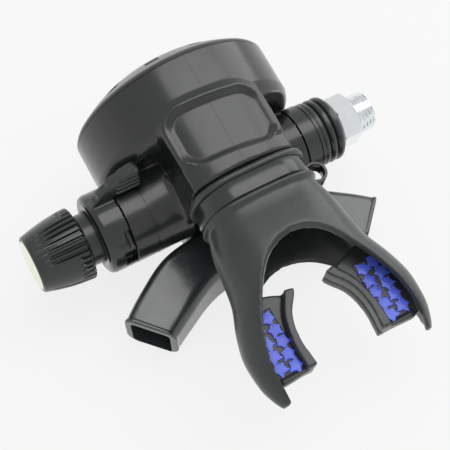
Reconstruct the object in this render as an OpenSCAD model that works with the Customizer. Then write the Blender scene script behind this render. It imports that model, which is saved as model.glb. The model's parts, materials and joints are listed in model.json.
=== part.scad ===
// Second stage of a scuba regulator: demand valve, mouthpiece and exhaust tee.
// Everything is drawn about the valve tube: its axis is X, the hose enters at
// +X, the adjusting knob is at -X, the purge cover faces +Y and the mouthpiece
// leaves along -Y. rest() then lays the set on its drum and exhaust horns.

/* [Casing] */
// Outer radius of the round drum
drum_r = 37.5; // [34:0.5:40]
// Wall of the moulded casing
wall = 2.4; // [2:0.1:2.8]
// Back face of the drum, in front of the valve axis
drum_back = 11; // [11:0.5:13]
// Front rim of the drum, in front of the valve axis
drum_front = 32; // [31:0.5:36]
// Fillet around the back of the drum
drum_fillet = 5.5; // [3:0.5:7]
// Width of the block that carries the mouthpiece
block_w = 37; // [34:0.5:40]
// Back face of the block, behind the valve axis
block_back = 11.6; // [10.6:0.2:14]
// Underside of the block, below the valve axis
block_bottom = 12.8; // [12.6:0.1:13.2]
// Depth of the sunk panel on top of the block
panel_depth = 1.2; // [0.4:0.1:1.6]

/* [Valve tube] */
// Outer radius of the brass barrel
barrel_r = 8; // [7.6:0.1:8.4]
// Radius of the barrel's poppet chamber
chamber_r = 6.2; // [5.8:0.1:6.6]
// Radius of the boss on the hose side
boss_r = 12.3; // [11.8:0.1:12.6]
// Radius of the boss on the knob side and of the lever's ring
ring_r = 14.4; // [13.4:0.1:14.4]
// How far the boss on the knob side reaches past the drum
boss_past = 0.5; // [-1:0.5:2]
// How far the boss on the hose side ends short of the drum's side
boss_short = 5.5; // [4:0.5:7]
// Outside radius of the 9/16-18 inlet thread
thread_r = 7.144; // [6.5:0.05:7.5]
// Length of the inlet thread with its lead-in
thread_len = 7.4; // [6:0.2:9]
// Width of the inlet hexagon across its flats
hex_af = 17; // [16:0.5:18]
// Length of the inlet hexagon
hex_len = 8; // [6:0.5:9]
// Radius of the seat for the hose's O-ring
seal_bore_r = 5.45; // [5.2:0.05:5.8]
// Depth of the seat for the hose's O-ring
seal_bore_len = 6.5; // [5:0.5:7]
// Radius of the heat exchanger's ribs
fin_r = 12.1; // [11:0.1:12.6]
// Length of the heat exchanger
fin_len = 16.2; // [14:0.2:20]
// Bore of the adjustable orifice
orifice_bore_r = 2.2; // [1.6:0.1:2.6]

/* [Controls] */
// Radius of the knob at its wide end
knob_r = 13; // [12.4:0.1:14]
// Radius of the knob at its outer end
knob_end_r = 10; // [9:0.1:11]
// Length of the knob
knob_len = 17.5; // [15:0.5:20]
// Gap between the knob and the lever ring at rest
knob_gap = 4.8; // [4.6:0.1:6]
// Pitch of the adjusting screw
screw_pitch = 1; // [0.75:0.25:1]
// Turns that the knob goes in from rest
turns_in = 4; // [2:1:4]
// Width of the venturi lever's ring
lever_ring_w = 9.6; // [9:0.2:11]
// Reach of the lever's ear beyond its ring
ear_h = 12.3; // [8:0.1:12.6]
// Thickness of the lever's ear
ear_t = 3.2; // [2.4:0.1:3.4]
// Stroke of the purge button and the diaphragm
purge_stroke = 3.5; // [2:0.25:3.5]

/* [Cover] */
// Radius of the purge button
button_r = 23.4; // [22:0.2:24]
// Height of the button's crown in front of the drum's rim
crown_h = 14.5; // [14.5:0.5:17]
// Number of water slots around the button
slot_count = 12; // [8:1:14]

/* [Exhaust] */
// Radius of the exhaust port
port_r = 7.4; // [7:0.1:7.8]
// Centre of the exhaust port, below the valve axis
port_z = 24; // [23.8:0.1:24.4]
// Radius of the mushroom valve
mushroom_r = 8.4; // [8.2:0.1:8.6]
// Lift of the mushroom valve
mushroom_lift = 1.6; // [1:0.1:1.6]
// Wall of the exhaust tee
tee_wall = 1.8; // [1.4:0.1:2.2]
// Reach of a horn's outer corner to the side
horn_reach = 50.8; // [47:0.2:55]
// Level of the horns' tops, below the valve axis
horn_top = 3; // [1.5:0.5:3.5]

/* [Mouthpiece] */
// Width of the mouthpiece's oval tube
tube_w = 41; // [39:0.5:42]
// Height of the mouthpiece's oval tube
tube_h = 28; // [26:0.5:28.5]
// Height of the tube's centre above the valve axis
tube_z = 21.5; // [21:0.25:22]
// Upward tilt of the mouthpiece, in degrees
tube_tilt = 4.6; // [0:0.2:6]
// How far the mouthpiece stands off the middle, towards the hose
tube_shift = 1.6; // [0:0.2:1.6]
// Wall of the silicone tube
tube_wall = 2.2; // [1.8:0.1:2.4]
// Reach of the lip wings behind the block
wing_reach = 71; // [66:0.5:76]
// Half of the width across the wings
wing_half = 30.6; // [29:0.2:33]
// Height of the lip flange at its crown
flange_h = 31; // [28:0.5:33]
// Thickness of the lip flange
flange_t = 2.8; // [2.2:0.1:3.4]
// Thickness of a bite tab
tab_t = 3; // [2.4:0.1:3.6]
// Width of the mouthpiece's clamp
clamp_w = 6.2; // [4.8:0.1:6.6]

/* [Hidden] */

$fn = 72;

// Clearances, all radial unless the name says otherwise.
run = 0.05;      // running fit of a turning or sliding piece
loose = 0.3;     // two pieces that only face each other
seat = 0.05;     // a piece that is seated on its neighbour
join = 0.01;     // overlap that lets two shapes of one solid unite

// How the set lies: the drum's back fillet and the horns' lower edges touch the table.
horn_low = 18.5;                       // lower edge of a horn's end, below the axis
horn_tail = 46.8;                      // how far behind the axis that edge lies
fillet_y = drum_back + drum_fillet;
span_y = fillet_y + horn_tail;
span_z = drum_r - drum_fillet - horn_low;
rest_tilt = asin(drum_fillet / sqrt(span_y * span_y + span_z * span_z))
            + atan2(span_z, span_y);
rest_lift = horn_tail * sin(rest_tilt) + horn_low * cos(rest_tilt);

// Ends of the pieces along the valve tube.
boss_left = drum_r + boss_past;
boss_right = drum_r - boss_short;
ring_gap = 0.2;
ring_in = -(boss_left + ring_gap);
ring_out = ring_in - lever_ring_w;
knob_in = ring_out - knob_gap;
knob_out = knob_in - knob_len;
fin_in = boss_right + loose;
fin_out = fin_in + fin_len;
hex_out = fin_out + seat + hex_len;
inlet_end = hex_out + thread_len;
lever_bore_r = 9.3;
neck_r = lever_bore_r - run;
neck_out = ring_out - 3.8;
barrel_in = -(boss_left + 8);
vane_r = barrel_r + 1.2;

// Middle of the whole set in the lying frame, for an origin below its centre.
shift_x = (knob_out - 1 + inlet_end) / 2;
wing_y = -(block_back + wing_reach);
crown_y = drum_front + crown_h;
shift_y = (wing_y * cos(rest_tilt) - (tube_z + 1) * sin(rest_tilt)
           + crown_y * cos(rest_tilt)) / 2;

module rest() {
    translate([-shift_x, -shift_y, rest_lift]) rotate([rest_tilt, 0, 0]) children();
}

// ---- small helpers -------------------------------------------------------

// Cylinder on the valve axis from x0 to x1.
module along_x(x0, x1, r, r2 = -1) {
    translate([x0, 0, 0]) rotate([0, 90, 0])
        cylinder(h = x1 - x0, r1 = r, r2 = r2 < 0 ? r : r2);
}

// Turned shape about the Y axis; the profile's Y is the case's Y.
module about_y() { rotate([-90, 0, 0]) rotate_extrude($fn = 120) children(); }

// Turned shape about the valve axis; the profile's Y is the case's X.
module about_x() { rotate([0, 90, 0]) rotate_extrude($fn = 96) children(); }

// Cylinder along Y from y0 to y1, centred at x and z.
module along_y(y0, y1, r, x = 0, z = 0) {
    translate([x, y0, z]) rotate([-90, 0, 0]) cylinder(h = y1 - y0, r = r);
}

module box(lo, hi) { translate(lo) cube(hi - lo); }

// Rectangle with true round corners, from lo to hi.
module round_rect(lo, hi, r) {
    translate([lo[0] + r, lo[1]]) square([hi[0] - lo[0] - 2 * r, hi[1] - lo[1]]);
    translate([lo[0], lo[1] + r]) square([hi[0] - lo[0], hi[1] - lo[1] - 2 * r]);
    for (x = [lo[0] + r, hi[0] - r], y = [lo[1] + r, hi[1] - r])
        translate([x, y]) circle(r);
}

// Flat-sided oval of true arcs.
module oval(w, h) {
    round_rect([-w / 2, -h / 2], [w / 2, h / 2], h / 2 - 0.01);
}

// Slab along Y from y0 to y1 with an outline drawn in X and Z.
module slab_y(y0, y1) {
    translate([0, y1, 0]) rotate([90, 0, 0]) linear_extrude(y1 - y0) children();
}

// Slab along X from x0 to x1 with an outline drawn in Y and Z.
module slab_x(x0, x1) {
    translate([x0, 0, 0]) rotate([90, 0, 90]) linear_extrude(x1 - x0) children();
}

// Helical wire about Z as one closed tube; ends lie flat on both seats.
module helix(r0, r1, wire_r, length, turns, rings = 10, sides = 6) {
    n = turns * rings;
    lead = length - 2 * wire_r;
    function level(t) = wire_r + lead * max(0, min(1, (t * turns - 0.75) / (turns - 1.5)));
    points = [for (i = [0:n]) let (t = i / n, a = 360 * turns * t, r = r0 + (r1 - r0) * t)
              for (k = [0:sides - 1]) let (b = 360 * k / sides, q = r + wire_r * cos(b))
              [q * cos(a), q * sin(a), level(t) + wire_r * sin(b)]];
    walls = [for (i = [0:n - 1], k = [0:sides - 1])
             let (a = i * sides + k, b = i * sides + (k + 1) % sides)
             each [[a, a + sides, b], [b, a + sides, b + sides]]];
    polyhedron(points, concat(walls, [[for (k = [0:sides - 1]) k],
               [for (k = [sides - 1:-1:0]) n * sides + k]]));
}

// Closed solid through a list of outlines that all have the same count of points.
module loft(s) {
    n = len(s[0]);
    m = len(s);
    polyhedron([for (ring = s) each ring], concat(
        [[for (k = [n - 1:-1:0]) k]],
        [for (i = [0:m - 2], k = [0:n - 1])
            let (a = i * n + k, b = i * n + (k + 1) % n)
            each [[a, b + n, a + n], [a, b, b + n]]],
        [[for (k = [0:n - 1]) (m - 1) * n + k]]));
}

// ---- casing --------------------------------------------------------------

cavity_r = drum_r - wall;
ledge_y = drum_front - 3.5;
ledge_r = cavity_r - 3.6;
spigot_w = tube_w - 2 * tube_wall - 0.6;
spigot_h = tube_h - 2 * tube_wall - 1.2;
spigot_len = 9;
pass_w = spigot_w - 4;
pass_h = spigot_h - 4;
flare = 5;

// The drum's outline with its back fillet.
module drum_outline() {
    translate([0, drum_back]) square([drum_r - drum_fillet, drum_front - drum_back]);
    translate([0, fillet_y]) square([drum_r, drum_front - fillet_y]);
    translate([drum_r - drum_fillet, fillet_y]) circle(drum_fillet);
}

// Space that the mouthpiece block fills, with its sloped lower back.
module block_space() {
    intersection() {
        slab_y(-block_back - 3, drum_front - 1)
            round_rect([-block_w / 2, -block_bottom], [block_w / 2, drum_r + 8], 4);
        slab_x(-block_w, block_w) polygon([
            [-block_back + (drum_r + 2 - tube_z) * tan(tube_tilt), drum_r + 2],
            [-block_back - (tube_h / 2 + 1.5) * tan(tube_tilt), tube_z - tube_h / 2 - 1.5],
            [-block_back + 3.2, -block_bottom - 1], [drum_front, -block_bottom - 1],
            [drum_front, drum_r + 2]]);
    }
}

// One turned body, cut away behind the drum except where the block stands.
module drum_and_block() {
    difference() {
        along_y(-block_back - 3, drum_front, drum_r);
        difference() {
            about_y() difference() {
                translate([0, -block_back - 4])
                    square([drum_r + 3, fillet_y + block_back + 4]);
                drum_outline();
            }
            block_space();
        }
    }
}

// Sunk panel on top of the block, with a step all round.
module sunk_panel() {
    difference() {
        translate([0, 0, tube_z]) linear_extrude(drum_r)
            round_rect([-block_w / 2 + 3.6, -4.6], [block_w / 2 - 3.6, fillet_y - 4.6], 3.6);
        along_y(-block_back - 1, drum_front, drum_r - panel_depth);
    }
}

module bosses() {
    along_x(-boss_left, -block_w / 2 + 0.6, ring_r);
    along_x(block_w / 2 - wall, boss_right, boss_r);
    along_x(block_w / 2 - 0.5, block_w / 2 + 8, boss_r + 2.6, boss_r - 0.01);
}

// Oval prism along the mouthpiece's axis, from distance d0 to d1.
module spigot(w, h, d0, d1) {
    at_tube() slab_y(-d1, -d0) oval(w, h);
}

module exhaust_port() {
    difference() {
        along_y(drum_back - 1, drum_back + wall + 1, port_r, 0, -port_z);
        for (a = [0:3]) translate([0, 0, -port_z]) rotate([0, a * 90, 0])
            box([0, drum_back - 2, -0.8], [port_r + 1, drum_back + wall + 2, 0.8]);
        along_y(drum_back - 2, drum_back + wall + 2, 2.8, 0, -port_z);
    }
}

module case_body() {
    color("#1b1c1d") difference() {
        union() {
            drum_and_block();
            bosses();
            spigot(spigot_w, spigot_h, -1.5, spigot_len);
        }
        // diaphragm chamber and its ledge
        along_y(drum_back + wall, ledge_y - 1, cavity_r);
        along_y(drum_back + wall, drum_front, ledge_r);
        along_y(ledge_y, drum_front + 1, cavity_r);
        // inside of the block
        slab_y(-block_back + wall, drum_back + wall + 1)
            round_rect([-block_w / 2 + wall, -block_bottom + wall],
                       [block_w / 2 - wall, tube_z + pass_h / 2], 3);
        spigot(pass_w, pass_h, -3.6, spigot_len + 1);
        // barrel, vane and the fine line round each boss
        along_x(-boss_left - 1, -block_w / 2 + wall + 1, vane_r + run);
        along_x(block_w / 2 - wall - 1, boss_right + 1, barrel_r + seat);
        difference() {
            along_x(-boss_left + 8.2, -boss_left + 8.5, ring_r + 1);
            along_x(-boss_left + 8, -boss_left + 9, ring_r - 0.3);
        }
        // the drum's back stands clear of the heat exchanger
        along_x(boss_right + 0.01, drum_r + 2, fin_r + 0.3 + loose);
        sunk_panel();
        exhaust_port();
        along_y(drum_back - 1, drum_back + wall + 1, 1.45, 0, -port_z);
    }
}

// ---- front cover, purge and diaphragm --------------------------------------

skirt_y = ledge_y + 2.7;       // back end of the cover's skirt
rim_y = drum_front + 0.15;     // the fine seam between drum and cover
lip_r = button_r + 0.5;        // opening around the button
cover_t = 2;
lip_t = 1.2;               // thickness of the button's flange
post_y = drum_front - 1.1;     // end of the button's post, close to the diaphragm

// Outside of the dome as [radius, share of the crown's height].
dome = [[37.5, 0.01], [37.4, 0.065], [36.8, 0.125], [35.4, 0.195], [32.9, 0.31],
        [30.8, 0.4], [27.4, 0.528], [22.6, 0.675], [15.6, 0.84], [8.3, 0.955], [0, 1]];
function dome_y(i) = drum_front + dome[i][1] * crown_h;
function dome_r(i) = dome[i][0] * drum_r / 37.5;

// Height of the dome's outside at radius r.
function dome_at(r) = lookup(r, [for (i = [len(dome) - 1:-1:0]) [dome_r(i), dome_y(i)]]);

module front_cover() {
    color("#202122") difference() {
        about_y() {
            polygon(concat(
                [[cavity_r - 2.2, skirt_y], [cavity_r - 0.15, skirt_y],
                 [cavity_r - 0.15, rim_y], [drum_r, rim_y]],
                [for (i = [1:6]) [dome_r(i), dome_y(i)]],
                [[lip_r, dome_at(lip_r)], [lip_r, dome_at(lip_r) - cover_t],
                 [dome_r(6), dome_y(6) - cover_t], [dome_r(5), dome_y(5) - cover_t - 0.2],
                 [dome_r(4) - 1, guard_y + guard_t + 0.3],
                 [cavity_r - 2.2, guard_y + guard_t + 0.3]]));
        }
        for (k = [0:slot_count - 1]) rotate([0, (k + 0.5) * 360 / slot_count, 0])
            translate([button_r + 7.4, crown_y - 10, 0]) rotate([90, 0, 0])
                linear_extrude(24, center = true) square([4.6, 5], center = true);
    }
}

guard_y = drum_front + 0.3;
guard_t = 1.2;
guard_r = cavity_r - 2.2 - seat;

module purge_guard() {
    color("#2a2b2c") difference() {
        union() {
            along_y(guard_y, guard_y + guard_t, guard_r);
            along_y(skirt_y + 0.5, guard_y + join, guard_r);
        }
        along_y(skirt_y, guard_y - join, guard_r - 1.2);
        along_y(guard_y - 1, guard_y + 2, 4.6);
        for (k = [0:7]) rotate([0, 45 * k, 0])
            along_y(guard_y - 1, guard_y + 2, 3.4, guard_r - 8);
        for (k = [0:7]) rotate([0, 45 * k + 22.5, 0])
            along_y(guard_y - 1, guard_y + 2, 2, guard_r - 16.5);
    }
}

flange_y = dome_at(lip_r) - cover_t - 0.6;   // front of the button's flange

module purge_button() {
    color("#26282a") {
        difference() {
            about_y() polygon([
                [0, flange_y + 2.2], [4, flange_y + 2.2], [button_r - 2, flange_y - 0.2],
                [button_r - 2, flange_y - lip_t], [button_r + 1.8, flange_y - lip_t],
                [button_r + 1.8, flange_y], [button_r, flange_y],
                [button_r, dome_at(button_r) - 0.4], [button_r - 0.4, dome_at(button_r)],
                [22.6 * button_r / 23.6, dome_y(7)], [15.6, dome_y(8)], [8.3, dome_y(9)],
                [0, dome_y(10)]]);
        }
        along_y(post_y, flange_y + 3, 4);
    }
}

purge_coil_r = 8;

module purge_spring() {
    length = flange_y + 1.2 - (guard_y + guard_t) - 0.2;
    color("#b8bcc0") translate([0, guard_y + guard_t + 0.05, 0]) rotate([-90, 0, 0])
        helix(purge_coil_r + 3, purge_coil_r, 0.4, length, 3);
}

bead_t = 1.7;

module diaphragm_washer() {
    color("#3b3d40") difference() {
        along_y(ledge_y + bead_t + seat, skirt_y - seat, cavity_r - 0.3);
        along_y(ledge_y, skirt_y + 1, ledge_r + 0.4);
    }
}

disc_y = ledge_y + 0.4;        // back of the rigid disc
disc_t = 1;
disc_r = 19;

module diaphragm() {
    skin = 0.6;
    front = disc_y + disc_t + seat + skin;
    color("#33373a") about_y() polygon([
        [0, front - skin], [disc_r + 1, front - skin], [disc_r + 3.5, front - skin - 2.2],
        [ledge_r - 2.6, front - skin - 2.2], [ledge_r - 0.8, ledge_y + seat],
        [cavity_r - 0.3, ledge_y + seat], [cavity_r - 0.3, ledge_y + bead_t],
        [ledge_r + 0.6, ledge_y + bead_t], [ledge_r - 1.4, ledge_y + bead_t - 1],
        [ledge_r - 3, front - 2.2], [disc_r + 4, front - 2.2], [disc_r + 1.4, front],
        [0, front]]);
}

module diaphragm_disc() {
    color("#c9ccce") difference() {
        along_y(disc_y, disc_y + disc_t, disc_r);
        for (k = [0:5]) rotate([0, 60 * k, 0])
            along_y(disc_y - 1, disc_y + 2, 2, disc_r - 4.5);
    }
}

// ---- valve barrel and hose inlet --------------------------------------------

throat_x = 16;                 // where the poppet chamber narrows to the orifice
orifice_r = 4.4;
seat_x = 14.4;                 // the orifice's knife edge
window_x = 3.6;                // half length of the lever's window

module hexagon(x0, x1, af) {
    intersection() {
        translate([x0, 0, 0]) rotate([0, 90, 0])
            cylinder(h = x1 - x0, r = af / 2 / cos(30), $fn = 6);
        about_x() polygon([[0, x0], [af / 2, x0], [af / 2 / cos(30), x0 + 0.9],
            [af / 2 / cos(30), x1 - 0.9], [af / 2, x1], [0, x1]]);
    }
}

module valve_barrel() {
    color("#e3e6ea") difference() {
        union() {
            along_x(barrel_in, fin_out + 1, barrel_r);
            hexagon(fin_out + seat, hex_out, hex_af);
            along_x(hex_out - join, hex_out + 1.2, thread_r - 0.7);
            along_x(hex_out + 1, inlet_end - 0.7, thread_r);
            along_x(inlet_end - 0.71, inlet_end, thread_r, thread_r - 0.7);
        }
        along_x(barrel_in - 1, throat_x, chamber_r);
        along_x(throat_x - 1, inlet_end + 1, orifice_r + run);
        along_x(inlet_end - seal_bore_len, inlet_end + 1, seal_bore_r);
        // window for the demand lever's feet, and air ports to the mouthpiece
        box([-window_x, 1.5, -5.6], [window_x - 0.6, barrel_r + 1, 5.6]);
        for (z = [0, 1]) rotate([z * 90 - 40, 0, 0])
            translate([9, 0, 0]) rotate([90, 0, 0]) cylinder(h = barrel_r + 2, r = 1.8);
    }
}

rib_pitch = 2.9;
rib_first = fin_in + 7.9;

module heat_exchanger() {
    color("#232526") difference() {
        about_x() {
            difference() {
                union() {
                    translate([0, fin_in]) square([fin_r + 0.3, 5]);
                    translate([0, fin_in + 4]) square([fin_r - 0.4, 3]);
                    translate([0, fin_in + 5.7]) square([fin_r, 1.2]);
                    translate([0, fin_in + 6]) square([fin_r - 1.3, fin_len - 7.6]);
                    for (k = [0:2]) translate([fin_r - 1.5, rib_first + k * rib_pitch])
                        circle(1.5, $fn = 32);
                    polygon([[0, fin_out - 2.6], [fin_r - 0.3, fin_out - 2.6],
                             [fin_r - 0.3, fin_out - 1.5], [fin_r - 2, fin_out],
                             [0, fin_out]]);
                }
                translate([0, fin_in - 1]) square([barrel_r + seat, fin_len + 2]);
            }
        }
    }
}

orifice_end = fin_in + 5.7;    // inside the barrel's part that the sleeve holds

module orifice() {
    color("#d9d3c4") difference() {
        union() {
            along_x(throat_x, orifice_end, orifice_r);
            along_x(seat_x + 1, throat_x + join, orifice_bore_r + 1.4);
            along_x(seat_x, seat_x + 1 + join, orifice_bore_r + 0.35, orifice_bore_r + 1.4);
        }
        along_x(seat_x - 1, orifice_end + 1, orifice_bore_r);
        // groove for the O-ring and slot for the adjusting key
        difference() {
            along_x(orifice_end - 6, orifice_end - 4, orifice_r + 1);
            along_x(orifice_end - 7, orifice_end - 3, orifice_r - 1.2);
        }
        box([orifice_end - 1.6, -6, -0.7], [orifice_end + 1, 6, 0.7]);
    }
}

// O-ring on the valve axis in a groove of root radius r, centred at x.
module ring(x, r, wire) {
    about_x() translate([r + wire, x]) circle(wire, $fn = 24);
}

module orifice_o_ring() {
    color("#111213") ring(orifice_end - 5, orifice_r - 1.2 + 0.02, 0.58);
}

// ---- poppet, demand lever and spring ----------------------------------------

collar_x = -2.2;               // front face of the poppet's collar
collar_t = 1.4;
pad_x = -15.2;                 // front of the spring pad at rest
tail_x = -16;

module poppet() {
    color("#d7d4cb") difference() {
        union() {
            along_x(tail_x, seat_x - 3, 1.9);
            along_x(collar_x - collar_t, collar_x, 5.4);
            along_x(seat_x - 4.6, seat_x - 0.5, orifice_bore_r + 2.2);
            intersection() {
                along_x(seat_x - 10, seat_x - 3.4, chamber_r - run);
                for (a = [0, 60, 120]) rotate([a, 0, 0])
                    box([seat_x - 10, -7, -0.9], [seat_x - 3.4, 7, 0.9]);
            }
        }
        along_x(seat_x - 1.5, seat_x, orifice_bore_r + 1.5);
    }
}

module poppet_seat() {
    color("#2b2d2f") along_x(seat_x - 1.5, seat_x - 0.05, orifice_bore_r + 1.45);
}

module poppet_spring() {
    length = collar_x - collar_t - pad_x - 0.1;
    color("#b8bcc0") translate([pad_x + 0.05, 0, 0]) rotate([0, 90, 0])
        helix(4.1, 4.1, 0.45, length, 5);
}

pad_len = 9;
head_x = pad_x - pad_len;      // where the adjusting screw pushes the pad

module spring_pad() {
    color("#c9ccce") difference() {
        along_x(head_x + seat, pad_x, chamber_r - run);
        along_x(head_x + 1.6, pad_x + 1, 1.9 + 0.1);
        difference() {
            along_x(head_x + 3, head_x + 5, chamber_r + 1);
            along_x(head_x + 2, head_x + 6, chamber_r - 1);
        }
    }
}

pivot_x = -0.8;
pivot_y = 8.6;
arm_top = disc_y - loose;
arm_reach = 14;

// Bent sheet: two feet through the barrel's window, a bridge and one long arm.
module demand_lever() {
    t = 1.1;
    color("#ccd0d4") {
        for (s = [-1, 1]) {
            z0 = s > 0 ? 3.6 : -4.7;
            box([pivot_x - 1, 3.1, z0], [pivot_x + 0.8, pivot_y + 1.2, z0 + t]);
        }
        box([pivot_x - 1, pivot_y + 0.2, -4.7], [pivot_x + 3.5, pivot_y + 0.2 + t, 4.7]);
        slab_z(-2.4, 2.4) polygon([
            [pivot_x + 1, pivot_y + 0.2], [pivot_x + 3.5, pivot_y + 0.2],
            [arm_reach + 0.7, arm_top - 1.6], [arm_reach + 0.7, arm_top - 1],
            [arm_reach - 1, arm_top - 1], [pivot_x + 2, pivot_y + 1.6]]);
        translate([arm_reach, arm_top - 1.2, -2.4]) cylinder(h = 4.8, r = 1.2);
    }
}

// Slab along Z from z0 to z1 with an outline drawn in X and Y.
module slab_z(z0, z1) { translate([0, 0, z0]) linear_extrude(z1 - z0) children(); }

// ---- adjusting knob ---------------------------------------------------------

stem_r = 3.05;
screw_in = head_x;
nut_in = barrel_in + 10;       // inner end of the packing nut

module packing_nut() {
    color("#26282a") difference() {
        union() {
            along_x(neck_out + 1, nut_in, chamber_r - seat);
            along_x(neck_out, barrel_in - seat, neck_r);
        }
        along_x(neck_out - 1, nut_in + 1, stem_r + run);
        // two holes for the pin spanner
        for (s = [-1, 1]) translate([neck_out - 1, s * 6.2, 0]) rotate([0, 90, 0])
            cylinder(h = 3, r = 0.9);
    }
}

module adjusting_screw() {
    head_out = nut_in + 2.2 + screw_pitch - 1;
    color("#cfd3d8") difference() {
        union() {
            along_x(knob_out + 5, head_out + join, stem_r);
            along_x(head_out, screw_in - seat, chamber_r - run);
        }
        difference() {
            along_x(screw_in - 4.4, screw_in - 2.2, chamber_r + 1);
            along_x(screw_in - 5, screw_in - 2, chamber_r - 1.3);
        }
        along_x(knob_out + 4, knob_out + 12, 1.05);
    }
}

module screw_o_ring() {
    color("#111213") ring(screw_in - 3.3, chamber_r - 1.3 + 0.02, 0.58);
}

flute_count = 42;
knob_taper = atan2(knob_r - knob_end_r - 0.5, knob_len - 4);
insert_r = knob_end_r - 0.9;

module knob() {
    color("#1e1f20") difference() {
        about_x() difference() {
            polygon([[0, knob_out], [knob_end_r - 0.6, knob_out],
                     [knob_end_r, knob_out + 0.8], [knob_end_r + 0.5, knob_out + 3],
                     [knob_r, knob_in - 1], [knob_r - 0.5, knob_in], [0, knob_in]]);
            translate([0, knob_out - 1]) square([insert_r, 2.2]);
            translate([0, knob_in - 5.2]) square([neck_r + 0.5, 6]);
            translate([0, knob_out]) square([3.3, 2.6]);
            translate([0, knob_out]) square([1.15, 6]);
            translate([0, knob_out + 5 - seat]) square([stem_r + seat, knob_len]);
        }
        // groups of fine flutes that run out towards the knob's outer end
        for (k = [0:flute_count - 1]) rotate([360 * k / flute_count, 0, 0])
            translate([knob_in + 1, 0, knob_r + 0.3]) rotate([0, -90 - knob_taper, 0])
                cylinder(h = knob_len * (k % 6 < 4 ? 0.74 : 0.42), r = 0.62);
    }
}

module knob_insert() {
    color("#d9e2b4") about_x() polygon([
        [0, knob_out - 1], [insert_r * 0.5, knob_out - 0.85],
        [insert_r * 0.85, knob_out - 0.5], [insert_r - seat, knob_out],
        [insert_r - seat, knob_out + 1.15], [0, knob_out + 1.15]]);
}

module knob_screw() {
    color("#b8bcc0") {
        difference() {
            along_x(knob_out + 1.3, knob_out + 2.55, 3.1);
            box([knob_out + 1, -2.2, -0.35], [knob_out + 1.8, 2.2, 0.35]);
            box([knob_out + 1, -0.35, -2.2], [knob_out + 1.8, 0.35, 2.2]);
        }
        along_x(knob_out + 2.5, knob_out + 10, 1);
    }
}

// ---- venturi lever ----------------------------------------------------------

ear_mid = 65.5;                // middle of the ear, degrees up from +Y
ear_tip_x = -27.6;             // free end of the ear, over the boss
ear_l = ear_tip_x - ring_out;

// Side view of the ear: X along the tube, Y out from the ring's surface.
ear_side = [[0.015, -0.12], [0.03, 0.05], [0.055, 0.15], [0.13, 0.31], [0.22, 0.46],
            [0.33, 0.61], [0.45, 0.74], [0.58, 0.85], [0.72, 0.93], [0.86, 0.985],
            [0.94, 1], [0.985, 0.97], [1, 0.9], [0.985, 0.29], [0.97, 0.255]];

module ear() {
    rotate([ear_mid, 0, 0]) difference() {
        union() {
            translate([0, 0, -ear_t / 2]) linear_extrude(ear_t) polygon(concat(
                [for (p = ear_side) [ring_out + ear_l * p[0], boss_r + ear_h * p[1]]],
                [[ring_in, ring_r + 1], [ring_in, ring_r - 1.4]]));
            // grip lines on the upper flank
            for (k = [0:3]) translate([0, ring_r + 1.8 + 1.6 * k, ear_t / 2 - 0.1])
                along_x(ear_tip_x - 9 + 0.5 * k, ear_tip_x - 0.5, 0.5);
        }
        // scallops across the sloping outer edge
        for (p = [[0.17, 0.37, 2.2], [0.37, 0.655, 2.5], [0.63, 0.88, 3]])
            translate([ring_out + ear_l * p[0] - 1.1, boss_r + ear_h * p[1] + p[2] - 0.6, -5])
                cylinder(h = 10, r = p[2]);
    }
}

module venturi_lever() {
    color("#1d1e1f") difference() {
        union() {
            about_x() polygon([[lever_bore_r, ring_out + 0.8], [lever_bore_r + 1, ring_out],
                [ring_r - 2, ring_out], [ring_r - 0.6, ring_out + 0.6],
                [ring_r, ring_out + 2], [ring_r, ring_in],
                [lever_bore_r, ring_in]]);
            ear();
        }
        along_x(ring_out + 1, 0, lever_bore_r);
        // stepped slot of the stop that limits the lever
        rotate([150.5, 0, 0]) box([ring_in - 4.1, lever_bore_r + 0.6, -0.1],
                                  [ring_in + 1, ring_r + 1, 6.4]);
        rotate([119, 0, 0]) box([ring_in - 1.9, ring_r - 1.8, 0], [ring_in + 1, ring_r + 1, 6]);
    }
}

vane_ring_x = -boss_left + 4.8; // middle of the sleeve's O-ring groove

module venturi_vane() {
    color("#2c2e30") difference() {
        union() {
            along_x(-boss_left + 0.1, -block_w / 2 + wall + 2.5, vane_r);
            along_x(ring_in - 1.5, -boss_left + 0.2, vane_r - 0.2);
            // blade in the air path, above the barrel
            intersection() {
                along_x(-block_w / 2 + wall + 1, -5, barrel_r + 4.6);
                rotate([55, 0, 0]) box([-block_w / 2, 0, -1.1], [-5, barrel_r + 5, 1.1]);
            }
        }
        along_x(-boss_left - 5, 0, barrel_r + run);
        difference() {
            along_x(vane_ring_x - 1, vane_ring_x + 1, vane_r + 1);
            along_x(vane_ring_x - 2, vane_ring_x + 2, vane_r - 0.6);
        }
    }
}

module vane_o_ring() {
    color("#111213") ring(vane_ring_x, vane_r - 0.6 + 0.01, 0.3);
}

// ---- exhaust ----------------------------------------------------------------

module exhaust_valve() {
    stem_end = drum_back + wall + mushroom_lift + 0.3;
    color("#4a4d50") translate([0, 0, -port_z]) {
        about_y() polygon([[0, drum_back - 1.6], [2.2, drum_back - 1.5],
            [mushroom_r - 0.6, drum_back - 0.8], [mushroom_r, drum_back - 0.4],
            [mushroom_r, drum_back - 0.06], [0, drum_back - 0.06]]);
        along_y(drum_back - 0.1, stem_end + join, 1.35);
        about_y() polygon([[0, stem_end], [2, stem_end], [1.6, stem_end + 2.2],
            [0, stem_end + 2.8]]);
    }
}

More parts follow.
